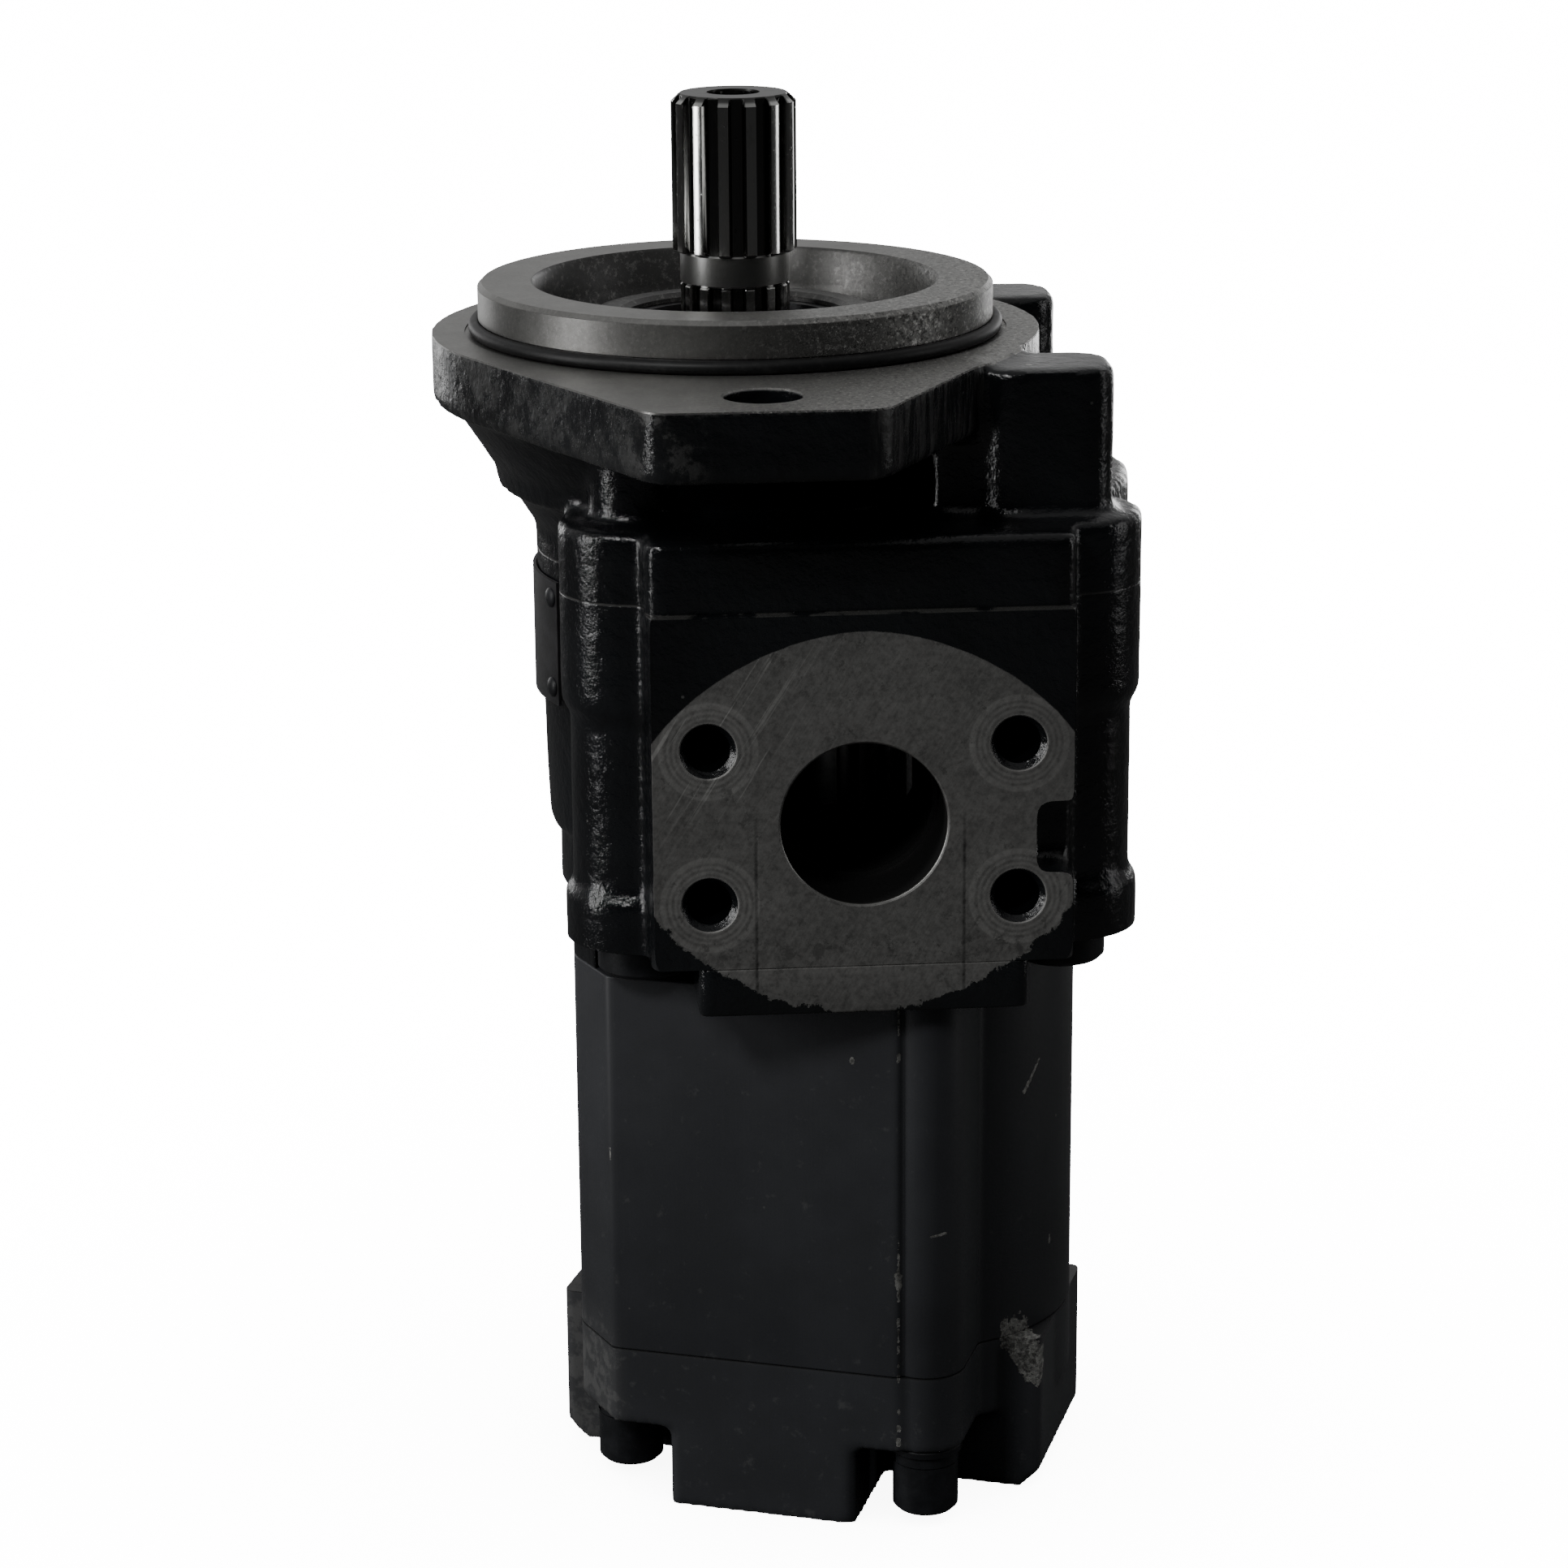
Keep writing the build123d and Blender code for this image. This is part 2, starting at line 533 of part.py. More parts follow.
def make_gear_housing():
    """Front pump's cast body with its two ports and the gear chamber."""
    end_face = front_core_outline(FRONT_END_RADIUS)
    body = Pos(0, 0, COVER_BOTTOM) * extrude(
        end_face, PAD_BOTTOM - COVER_BOTTOM, taper=FRONT_DRAFT_ANGLE)
    body += raise_up(front_core_outline(FRONT_FOOT_RADIUS), HOUSING_BOTTOM, PAD_BOTTOM + 1)
    body += raise_up(port_boss_outline(PORT_FACE), HOUSING_BOTTOM + 1, COVER_BOTTOM)
    body += raise_up(port_boss_outline(PORT_FACE - 8), HOUSING_BOTTOM, COVER_BOTTOM)
    for spot in FRONT_BOLT_SPOTS:
        body += rod(COLUMN_RADIUS, WAIST_TOP, COVER_BOTTOM, spot)
        body += rod(WAIST_RADIUS, WAIST_BOTTOM, WAIST_TOP, spot)
        body += rod(COLUMN_RADIUS, HOUSING_BOTTOM, WAIST_BOTTOM, spot)
    edge = FRONT_MIDDLE + PORT_HALF_WIDTH
    pocket = Pos(edge, 0) * RectangleRounded(15.5, 2 * PORT_FACE + 20, 3.0)
    keep = Pos(edge, 0) * Rectangle(40, 2 * (PORT_FACE - 9))
    body -= raise_up(pocket - keep, *POCKET_LEVELS)
    body -= raise_up(figure_eight(FRONT_CENTRES, gear_tip(FRONT_CENTRES) + RUNNING_GAP),
                     HOUSING_BOTTOM - 1, COVER_BOTTOM + 1)
    seat = PORT_FACE - PORT_BORE_DEPTH
    body -= drill_along_y(INLET_RADIUS, FRONT_MIDDLE, PORT_LEVEL, -PORT_FACE - 1, -seat)
    body -= drill_along_y(INLET_THROAT_RADIUS, FRONT_MIDDLE, PORT_LEVEL, -seat - 1, -8)
    body -= drill_along_y(OUTLET_RADIUS, FRONT_MIDDLE, PORT_LEVEL, PORT_FACE + 1, seat)
    body -= drill_along_y(OUTLET_THROAT_RADIUS, FRONT_MIDDLE, PORT_LEVEL, seat + 1, 8)
    for cut in port_holes(INLET_HOLES, -1) + port_holes(OUTLET_HOLES, 1):
        body -= cut
    duct = TURN * rod(DUCT_RADIUS, HOUSING_BOTTOM - 1, PORT_LEVEL, DUCT_SPOT)
    body -= duct
    body -= seal_band(stadium, FRONT_CENTRES, FRONT_JOINT_SEAL, COVER_BOTTOM - 2.2, 3.0)
    for spot in FRONT_BOLT_SPOTS:
        body -= rod(FRONT_BOLT_RADIUS + HOLE_GAP, HOUSING_BOTTOM - 1, COVER_BOTTOM + 1, spot)
    for spot in COVER_DOWEL_SPOTS:
        body -= rod(DOWEL_RADIUS + FIT, COVER_BOTTOM - 8.2, COVER_BOTTOM + 1, spot)
    for spot in PLATE_DOWEL_SPOTS:
        body -= rod(PLATE_DOWEL_RADIUS + FIT, HOUSING_BOTTOM - 1, HOUSING_BOTTOM + 6.2, spot)
    for spot in PLATE_SCREW_SPOTS:
        body -= rod(PLATE_SCREW_RADIUS + FIT, HOUSING_BOTTOM - 1, PLATE_SCREW_TIP + 0.6, spot)
    for angle_of_rivet, level in rivet_places():
        body -= rivet_at(angle_of_rivet, level, RIVET_RADIUS + 0.05, PLATE_RADIUS - 4.5, PLATE_RADIUS + 3)
    return body


# ---- nameplate
def rivet_places():
    """Angle and level of each nameplate rivet."""
    return [(angle, level) for angle in RIVET_ANGLES for level in RIVET_LEVELS]


def rivet_at(angle, level, radius, start, end):
    """Radial pin at an angle round the shaft's axis."""
    pin = Pos((start + end) / 2, 0, level) * Rot(0, 90, 0) * Cylinder(radius, end - start)
    return Rot(0, 0, angle) * pin


def make_nameplate():
    """Thin blank plate curved round the left end of the housing."""
    middle = sum(PLATE_SPAN) / 2
    half = (PLATE_SPAN[1] - PLATE_SPAN[0]) / 2
    ring = tube(PLATE_RADIUS + PLATE_THICKNESS, PLATE_RADIUS, *PLATE_LEVELS)
    reach = 2 * PLATE_RADIUS
    wedge = Polygon((0, 0), polar(reach, -half), (reach, 0), polar(reach, half), align=None)
    body = ring & (Rot(0, 0, middle) * raise_up(wedge, *PLATE_LEVELS))
    for angle, level in rivet_places():
        body -= rivet_at(angle, level, RIVET_RADIUS + 0.1, PLATE_RADIUS - 2, PLATE_RADIUS + 3)
    return body


def make_nameplate_rivets():
    """Four small dome rivets."""
    rivets = []
    for angle, level in rivet_places():
        face = PLATE_RADIUS + PLATE_THICKNESS
        shank = rivet_at(angle, level, RIVET_RADIUS, PLATE_RADIUS - 4.3, face + 0.1)
        head = rivet_at(angle, level, RIVET_HEAD_RADIUS, face + 0.05, face + 0.9)
        rivets.append(shank + head)
    return rivets


# ---- adapter plate
def make_adapter_plate():
    """Plate between the two pumps, carrying the joint seals and the rear bolts' threads."""
    lips = Pos(ADAPTER_LIP_MIDDLE, 0) * RectangleRounded(ADAPTER_LIP_WIDTH, 2 * PORT_FACE, 2.0)
    body = raise_up(TURN * rear_outline() + lips, ADAPTER_BOTTOM, HOUSING_BOTTOM)
    for spot in FRONT_BOLT_SPOTS:
        body -= rod(FRONT_WASHER_RADIUS + 0.8, ADAPTER_BOTTOM - 1, HOUSING_BOTTOM + 1, spot)
    body -= rod(QUILL_TIP + 1.5, ADAPTER_BOTTOM - 1, HOUSING_BOTTOM + 1)
    body -= TURN * rod(DUCT_RADIUS, ADAPTER_BOTTOM - 1, HOUSING_BOTTOM + 1, DUCT_SPOT)
    body -= seal_band(stadium, FRONT_CENTRES, FRONT_JOINT_SEAL, HOUSING_BOTTOM - 2.2, 3.0)
    body -= TURN * seal_band(stadium, REAR_CENTRES, REAR_JOINT_SEAL, ADAPTER_BOTTOM - 0.8, 3.0)
    for low in (HOUSING_BOTTOM - 2.2, ADAPTER_BOTTOM - 0.8):
        body -= TURN * tube(DUCT_RADIUS + 3.2, DUCT_RADIUS + 1.0, low, low + 3.0, DUCT_SPOT)
    for spot in REAR_BOLT_SPOTS:
        body -= TURN * rod(REAR_BOLT_RADIUS + FIT, ADAPTER_BOTTOM - 1, REAR_BOLT_TIP + 0.4, spot)
    for spot in REAR_DOWEL_SPOTS:
        body -= TURN * rod(PLATE_DOWEL_RADIUS + FIT, ADAPTER_BOTTOM - 1, ADAPTER_BOTTOM + 5.2, spot)
    for spot in PLATE_DOWEL_SPOTS:
        body -= rod(PLATE_DOWEL_RADIUS + FIT, HOUSING_BOTTOM - 3.6, HOUSING_BOTTOM + 1, spot)
    for spot in PLATE_SCREW_SPOTS:
        body -= rod(PLATE_SCREW_RADIUS + HOLE_GAP, ADAPTER_BOTTOM - 1, HOUSING_BOTTOM + 1, spot)
        sink = ADAPTER_BOTTOM + PLATE_SCREW_SINK
        body -= rod(PLATE_SCREW_HEAD_RADIUS + 0.4, ADAPTER_BOTTOM - 1, sink, spot)
    return body


# ---- rear pump
def make_rear_body():
    """Extruded rear pump body with its gear chamber, suction duct and rear outlet."""
    body = raise_up(rear_outline(), BODY_BOTTOM, ADAPTER_BOTTOM)
    body -= raise_up(figure_eight(REAR_CENTRES, gear_tip(REAR_CENTRES) + RUNNING_GAP),
                     BODY_BOTTOM - 1, ADAPTER_BOTTOM + 1)
    body -= rod(DUCT_RADIUS, REAR_PORT_LEVEL - 6, ADAPTER_BOTTOM + 1, DUCT_SPOT)
    body -= drill_along_y(DUCT_RADIUS, 23.0, REAR_PORT_LEVEL, -33.5, -6)
    seat = REAR_PAD_FACE - REAR_OUTLET_DEPTH
    body -= drill_along_y(REAR_OUTLET_RADIUS, REAR_MIDDLE, REAR_PORT_LEVEL, seat, REAR_PAD_FACE + 1)
    body -= drill_along_y(REAR_THROAT_RADIUS, REAR_MIDDLE, REAR_PORT_LEVEL, 6, seat + 1)
    for angle in (45, 135, 225, 315):
        x, z = polar(REAR_OUTLET_PCD / 2, angle)
        body -= drill_along_y(
            REAR_TAP_RADIUS, REAR_MIDDLE + x, REAR_PORT_LEVEL + z, REAR_PAD_FACE - 13, REAR_PAD_FACE + 1)
    for spot in REAR_BOLT_SPOTS:
        body -= rod(REAR_BOLT_RADIUS + HOLE_GAP, BODY_BOTTOM - 1, ADAPTER_BOTTOM + 1, spot)
    for spot in REAR_DOWEL_SPOTS:
        for level in (ADAPTER_BOTTOM, BODY_BOTTOM):
            body -= rod(PLATE_DOWEL_RADIUS + FIT, level - 5.2, level + 5.2, spot)
    return TURN * body


def make_rear_cover():
    """Rear end cover: a web across the middle and a bar with two side lugs."""
    lug_bar = box_between((LUG_LEFT, LUG_RIGHT), (LUG_FRONT, LUG_BACK), (REAR_END, LUG_TOP))
    lug_bar = chamfer(lug_bar.edges().filter_by(Axis.Y).group_by(Axis.Z)[0], 4.0)
    lug_bar = fillet(lug_bar.edges().filter_by(Axis.Z), 1.5)
    body = raise_up(rear_outline(), BOLT_SEAT, BODY_BOTTOM) + lug_bar
    for turn in (0, 180):
        place = Pos(REAR_MIDDLE, 0, 0) * Rot(0, 0, turn) * Pos(-REAR_MIDDLE, 0, 0)
        web = box_between((COVER_WEB_LEFT, COVER_WEB_RIGHT), (-REAR_PAD_FACE, 0), (REAR_END, BOLT_SEAT + 1))
        body += place * fillet(web.edges().filter_by(Axis.Z).group_by(Axis.Y)[0], 2.0)
    for x in (0, REAR_CENTRES):
        body -= rod(REAR_RECESS_RADIUS, BODY_BOTTOM - 3, BODY_BOTTOM + 1, (x, 0))
    body -= seal_band(stadium, REAR_CENTRES, REAR_JOINT_SEAL, BODY_BOTTOM - 2.2, 3.0)
    for spot in REAR_BOLT_SPOTS:
        body -= rod(REAR_BOLT_RADIUS + HOLE_GAP, BOLT_SEAT - 1, BODY_BOTTOM + 1, spot)
        body -= rod(REAR_WASHER_RADIUS + 1.2, REAR_END - 1, BOLT_SEAT, spot)
    for spot in REAR_DOWEL_SPOTS:
        body -= rod(PLATE_DOWEL_RADIUS + FIT, BODY_BOTTOM - 5.2, BODY_BOTTOM + 1, spot)
    return TURN * body


# ---- seals, dowels and fasteners shared by the joints
def joint_seal(centres, band, low):
    """Square-section seal in a joint face's groove."""
    return seal_band(stadium, centres, (band[0] + FIT, band[1] - FIT), low, 2.15)


def make_duct_seals():
    """Two rings round the suction duct, one on each face of the adapter plate."""
    rings = []
    for low in (HOUSING_BOTTOM - 2.18, ADAPTER_BOTTOM + 0.03):
        rings.append(TURN * tube(DUCT_RADIUS + 3.15, DUCT_RADIUS + 1.05, low, low + 2.15, DUCT_SPOT))
    return rings


def cap_screw(shank, head, head_height, seat, tip, spot, socket):
    """Socket-head screw pointing up, with its head below the seat."""
    low = seat - head_height
    cap = rod(head, low, seat, spot)
    cap = chamfer(cap.edges().group_by(Axis.Z)[0], 0.7)
    body = cap + rod(shank, seat - 0.5, tip, spot)
    hexagon = Pos(*spot) * RegularPolygon(socket, 6, major_radius=False)
    return body - raise_up(hexagon, low - 1, low + head_height * 0.55)


def make_front_bolts():
    """Four screws through the front housing into the shaft-end cover."""
    seat = HOUSING_BOTTOM - WASHER_THICKNESS
    sizes = (FRONT_BOLT_RADIUS, FRONT_HEAD_RADIUS, FRONT_HEAD_HEIGHT)
    return [cap_screw(*sizes, seat, FRONT_BOLT_TIP, spot, 4.0) for spot in FRONT_BOLT_SPOTS]


def make_front_washers():
    """Four washers below the front housing."""
    low = HOUSING_BOTTOM - WASHER_THICKNESS
    return [tube(FRONT_WASHER_RADIUS, FRONT_BOLT_RADIUS + HOLE_GAP, low, HOUSING_BOTTOM, spot)
            for spot in FRONT_BOLT_SPOTS]


def make_rear_bolts():
    """Four screws through the rear cover and body into the adapter plate."""
    seat = BOLT_SEAT - PLAIN_WASHER_THICKNESS - SPRING_WASHER_THICKNESS
    sizes = (REAR_BOLT_RADIUS, REAR_HEAD_RADIUS, REAR_HEAD_HEIGHT)
    return [TURN * cap_screw(*sizes, seat, REAR_BOLT_TIP, spot, 3.0) for spot in REAR_BOLT_SPOTS]


def make_rear_washers(outer, high, thickness):
    """Four washers of one kind under the rear screw heads."""
    return [TURN * tube(outer, REAR_BOLT_RADIUS + 0.25, high - thickness, high, spot)
            for spot in REAR_BOLT_SPOTS]


def make_plate_screws():
    """Four low-head screws that hold the adapter plate to the front housing."""
    seat = ADAPTER_BOTTOM + PLATE_SCREW_SINK
    sizes = (PLATE_SCREW_RADIUS, PLATE_SCREW_HEAD_RADIUS, PLATE_SCREW_HEAD_HEIGHT)
    return [cap_screw(*sizes, seat, PLATE_SCREW_TIP, spot, 2.0) for spot in PLATE_SCREW_SPOTS]


def make_dowels(radius, spots, low, high):
    """Locating dowels across one joint."""
    return [chamfered_rod(radius, low, high, spot, 0.5) for spot in spots]


def rear_dowels():
    """Dowels at both ends of the rear body."""
    pins = []
    for level in (ADAPTER_BOTTOM, BODY_BOTTOM):
        pins += make_dowels(PLATE_DOWEL_RADIUS, REAR_DOWEL_SPOTS, level - 4.9, level + 4.9)
    return [TURN * pin for pin in pins]


def all_nodes():
    """Every node's solids by name."""
    front = (FRONT_CENTRES, FRONT_BUSH_RADIUS, FRONT_BLOCK_SEAL)
    rear = (REAR_CENTRES, REAR_BUSH_RADIUS, REAR_BLOCK_SEAL)
    front_upper = (FRONT_GEAR_TOP + 0.1, COVER_BOTTOM - 0.2)
    front_lower = (HOUSING_BOTTOM + 0.2, FRONT_GEAR_BOTTOM - 0.1)
    rear_upper = (REAR_GEAR_TOP + 0.1, ADAPTER_BOTTOM - 0.2)
    rear_lower = (BODY_BOTTOM + 0.2, REAR_GEAR_BOTTOM - 0.1)
    front_bush = (FRONT_CENTRES, FRONT_BUSH_RADIUS, FRONT_JOURNAL)
    rear_bush = (REAR_CENTRES, REAR_BUSH_RADIUS, REAR_JOURNAL)
    front_span = (FRONT_GEAR_BOTTOM, FRONT_GEAR_TOP)
    rear_span = (REAR_GEAR_BOTTOM, REAR_GEAR_TOP)
    front_journals = (HOUSING_BOTTOM + 0.5, COVER_BOTTOM - 0.5)
    rear_journals = (BODY_BOTTOM + 0.7, ADAPTER_BOTTOM - 0.5)
    return {
        "shaft_end_cover": make_shaft_end_cover(),
        "pilot_cord_ring": make_pilot_cord_ring(),
        "shaft_seal": make_shaft_seal(),
        "seal_retaining_ring": make_seal_retaining_ring(),
        "drive_shaft": make_drive_shaft(),
        "front_drive_gear": make_front_drive_gear(),
        "front_idler_gear": make_idler_gear(FRONT_CENTRES, 0, FRONT_JOURNAL, front_span, front_journals),
        "front_upper_bearing_block": make_bearing_block(*front, *front_upper, 1, 0),
        "front_lower_bearing_block": make_bearing_block(*front, *front_lower, -1, 0),
        "front_upper_bushes": make_bushes(*front_bush, *front_upper, 0),
        "front_lower_bushes": make_bushes(*front_bush, *front_lower, 0),
        "front_upper_block_seal": make_block_seal(*front[::2], front_upper[1] - 1.98, 0),
        "front_lower_block_seal": make_block_seal(*front[::2], front_lower[0] + 0.03, 0),
        "gear_housing": make_gear_housing(),
        "cover_joint_seal": joint_seal(FRONT_CENTRES, FRONT_JOINT_SEAL, COVER_BOTTOM - 2.18),
        "cover_dowels": make_dowels(DOWEL_RADIUS, COVER_DOWEL_SPOTS, COVER_BOTTOM - 8, COVER_BOTTOM + 8),
        "front_bolts": make_front_bolts(),
        "front_washers": make_front_washers(),
        "nameplate": make_nameplate(),
        "nameplate_rivets": make_nameplate_rivets(),
        "adapter_plate": make_adapter_plate(),
        "adapter_screws": make_plate_screws(),
        "adapter_dowels": make_dowels(
            PLATE_DOWEL_RADIUS, PLATE_DOWEL_SPOTS, HOUSING_BOTTOM - 3.4, HOUSING_BOTTOM + 6),
        "adapter_front_seal": joint_seal(FRONT_CENTRES, FRONT_JOINT_SEAL, HOUSING_BOTTOM - 2.18),
        "adapter_rear_seal": TURN * joint_seal(REAR_CENTRES, REAR_JOINT_SEAL, ADAPTER_BOTTOM + 0.03),
        "suction_duct_seals": make_duct_seals(),
        "coupling_quill": make_coupling_quill(),
        "rear_body": make_rear_body(),
        "rear_drive_gear": make_rear_drive_gear(),
        "rear_idler_gear": make_idler_gear(REAR_CENTRES, REAR_TURN, REAR_JOURNAL, rear_span, rear_journals),
        "rear_upper_bearing_block": make_bearing_block(*rear, *rear_upper, 1, REAR_TURN),
        "rear_lower_bearing_block": make_bearing_block(*rear, *rear_lower, -1, REAR_TURN),
        "rear_upper_bushes": make_bushes(*rear_bush, *rear_upper, REAR_TURN),
        "rear_lower_bushes": make_bushes(*rear_bush, *rear_lower, REAR_TURN),
        "rear_upper_block_seal": make_block_seal(*rear[::2], rear_upper[1] - 1.98, REAR_TURN),
        "rear_lower_block_seal": make_block_seal(*rear[::2], rear_lower[0] + 0.03, REAR_TURN),
        "rear_dowels": rear_dowels(),
        "rear_cover_seal": TURN * joint_seal(REAR_CENTRES, REAR_JOINT_SEAL, BODY_BOTTOM - 2.18),
        "rear_cover": make_rear_cover(),
        "rear_bolts": make_rear_bolts(),
        "rear_plain_washers": make_rear_washers(REAR_WASHER_RADIUS, BOLT_SEAT, PLAIN_WASHER_THICKNESS),
        "rear_spring_washers": make_rear_washers(
            SPRING_WASHER_RADIUS, BOLT_SEAT - PLAIN_WASHER_THICKNESS, SPRING_WASHER_THICKNESS),
    }


os.makedirs("parts", exist_ok=True)
for name, shape in all_nodes().items():
    solids = shape if isinstance(shape, list) else [shape]
    pieces = [solid for item in solids for solid in item.solids()]
    export_step(Compound(children=pieces), os.path.join("parts", name + ".step"))
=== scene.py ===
"""Tandem external gear pump: finished meshes, finishes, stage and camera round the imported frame.

Lengths are metres, written as millimetres times MM. The origin is on the drive shaft's axis in the
mounting face of the flange, +Z runs out along the shaft and -Y is the inlet side.
"""

import json
import logging
import math
from collections.abc import Mapping, Sequence
from dataclasses import dataclass
from enum import Enum
from typing import Any

import bmesh
import bpy
from mathutils import Matrix, Vector, noise

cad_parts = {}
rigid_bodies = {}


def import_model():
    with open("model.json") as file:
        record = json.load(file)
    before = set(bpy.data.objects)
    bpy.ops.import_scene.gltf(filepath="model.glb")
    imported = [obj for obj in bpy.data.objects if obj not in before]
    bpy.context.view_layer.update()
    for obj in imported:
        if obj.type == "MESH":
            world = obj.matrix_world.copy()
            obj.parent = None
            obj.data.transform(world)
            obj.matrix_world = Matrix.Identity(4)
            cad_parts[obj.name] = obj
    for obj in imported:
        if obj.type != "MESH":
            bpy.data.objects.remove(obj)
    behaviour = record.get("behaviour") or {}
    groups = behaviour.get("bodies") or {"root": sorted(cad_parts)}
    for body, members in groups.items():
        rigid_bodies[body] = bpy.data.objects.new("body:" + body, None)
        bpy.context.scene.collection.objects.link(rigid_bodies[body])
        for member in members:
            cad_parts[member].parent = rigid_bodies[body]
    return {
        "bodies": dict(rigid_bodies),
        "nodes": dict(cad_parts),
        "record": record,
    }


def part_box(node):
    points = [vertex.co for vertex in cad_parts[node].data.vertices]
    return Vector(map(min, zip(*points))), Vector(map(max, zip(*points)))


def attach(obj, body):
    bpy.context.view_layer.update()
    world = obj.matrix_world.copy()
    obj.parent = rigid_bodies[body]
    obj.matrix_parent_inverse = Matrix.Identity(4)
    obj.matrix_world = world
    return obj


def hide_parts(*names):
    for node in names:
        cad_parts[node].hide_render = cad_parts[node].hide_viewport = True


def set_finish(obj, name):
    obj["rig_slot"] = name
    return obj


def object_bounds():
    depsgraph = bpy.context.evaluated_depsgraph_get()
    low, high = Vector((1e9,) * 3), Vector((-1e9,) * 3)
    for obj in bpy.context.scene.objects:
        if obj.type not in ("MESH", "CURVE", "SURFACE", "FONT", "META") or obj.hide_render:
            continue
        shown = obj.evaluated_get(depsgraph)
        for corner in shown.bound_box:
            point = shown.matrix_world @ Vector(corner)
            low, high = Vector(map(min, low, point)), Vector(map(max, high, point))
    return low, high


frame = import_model()
CAD_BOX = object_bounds()

MM = 0.001
LOG = logging.getLogger("gear_pump")
UP = Vector((0, 0, 1))


class Body(Enum):
    """The frame's bodies."""

    HOUSING = "housing"
    DRIVE_TRAIN = "drive_train"
    FRONT_IDLER = "front_idler"
    REAR_IDLER = "rear_idler"


class Slot(Enum):
    """The record's material slots."""

    CASTING = "painted_casting"
    EXTRUSION = "painted_extrusion"
    GROUND_STEEL = "ground_steel"
    GEAR_STEEL = "gear_steel"
    SPRING_STEEL = "spring_steel"
    BEARING = "bearing_aluminium"
    BRONZE = "bush_bronze"
    RUBBER = "seal_rubber"
    FASTENER = "painted_fastener"
    PLATE = "painted_plate"


class Axis(Enum):
    """Row axes, as the index of a vector's component."""

    X = 0
    Y = 1
    Z = 2


# ---------------------------------------------------------------- node graphs
class Value:
    """A node's output that takes part in Python arithmetic."""

    def __init__(self, graph: "Graph", socket: bpy.types.NodeSocket) -> None:
        """Wrap a socket.

        Args:
            graph: The graph that the socket's node is in.
            socket: The output to wrap.
        """
        self.graph = graph
        self.socket = socket

    def _math(self, operation: str, *others: Any, clamp: bool = False) -> "Value":
        """Add a Math node that starts with this value."""
        return self.graph.math(operation, self, *others, clamp=clamp)

    def __add__(self, other: Any) -> "Value":
        """Sum."""
        return self._math("ADD", other)

    __radd__ = __add__

    def __sub__(self, other: Any) -> "Value":
        """Difference."""
        return self._math("SUBTRACT", other)

    def __rsub__(self, other: Any) -> "Value":
        """Reflected difference."""
        return self.graph.math("SUBTRACT", other, self)

    def __mul__(self, other: Any) -> "Value":
        """Product."""
        return self._math("MULTIPLY", other)

    __rmul__ = __mul__

    def __truediv__(self, other: Any) -> "Value":
        """Quotient."""
        return self._math("DIVIDE", other)

    def __rtruediv__(self, other: Any) -> "Value":
        """Reflected quotient."""
        return self.graph.math("DIVIDE", other, self)

    def __pow__(self, other: Any) -> "Value":
        """Power."""
        return self._math("POWER", other)

    def __neg__(self) -> "Value":
        """Opposite."""
        return self._math("MULTIPLY", -1.0)

    def __abs__(self) -> "Value":
        """Size without sign."""
        return self._math("ABSOLUTE")

    def above(self, edge: Any) -> "Value":
        """1 where this value is over an edge, else 0."""
        return self._math("GREATER_THAN", edge)

    def below(self, edge: Any) -> "Value":
        """1 where this value is under an edge, else 0."""
        return self._math("LESS_THAN", edge)

    def least(self, other: Any) -> "Value":
        """The smaller of two values."""
        return self._math("MINIMUM", other)

    def most(self, other: Any) -> "Value":
        """The larger of two values."""
        return self._math("MAXIMUM", other)

    def clamped(self) -> "Value":
        """This value kept from 0 to 1."""
        return self._math("ADD", 0.0, clamp=True)

    def ramp(self, low: float, high: float) -> "Value":
        """Smooth step from 0 at low to 1 at high.

        Args:
            low: Value that gives 0.
            high: Value that gives 1; it may be under low.

        Returns:
            The step.
        """
        values = {"Value": self, "From Min": low, "From Max": high}
        settings = {"interpolation_type": "SMOOTHSTEP", "clamp": True}
        return self.graph.node("ShaderNodeMapRange", settings, values)


class Graph:
    """A shader or geometry tree that is built by calls."""

    def __init__(self, tree: bpy.types.NodeTree) -> None:
        """Start on a tree."""
        self.tree = tree

    def raw(self, kind: str, settings: Mapping[str, Any], values: Mapping[Any, Any]) -> bpy.types.Node:
        """Add a node, set it and feed it.

        Args:
            kind: The node's type name.
            settings: Node properties, set before anything else.
            values: Input name or index to a constant, a Value or a socket.

        Returns:
            The node.
        """
        node = self.tree.nodes.new(kind)
        for key, setting in settings.items():
            setattr(node, key, setting)
        for key, value in values.items():
            socket = node.inputs[key]
            if isinstance(value, Value):
                value = value.socket
            if isinstance(value, bpy.types.NodeSocket):
                self.tree.links.new(value, socket)
            else:
                socket.default_value = value
        return node

    def node(
        self, kind: str, settings: Mapping[str, Any] | None = None,
        values: Mapping[Any, Any] | None = None, output: Any = 0,
    ) -> Value:
        """Add a node and give one of its outputs.

        Args:
            kind: The node's type name.
            settings: Node properties.
            values: Input name or index to a constant, a Value or a socket.
            output: The output's name or index.

        Returns:
            That output.
        """
        return Value(self, self.raw(kind, settings or {}, values or {}).outputs[output])

    def math(self, operation: str, *terms: Any, clamp: bool = False) -> Value:
        """Add a Math node over one to three terms."""
        settings = {"operation": operation, "use_clamp": clamp}
        return self.node("ShaderNodeMath", settings, dict(enumerate(terms)))

    def vector_math(self, operation: str, values: Mapping[Any, Any], output: Any = 0) -> Value:
        """Add a Vector Math node and give one of its outputs."""
        return self.node("ShaderNodeVectorMath", {"operation": operation}, values, output)


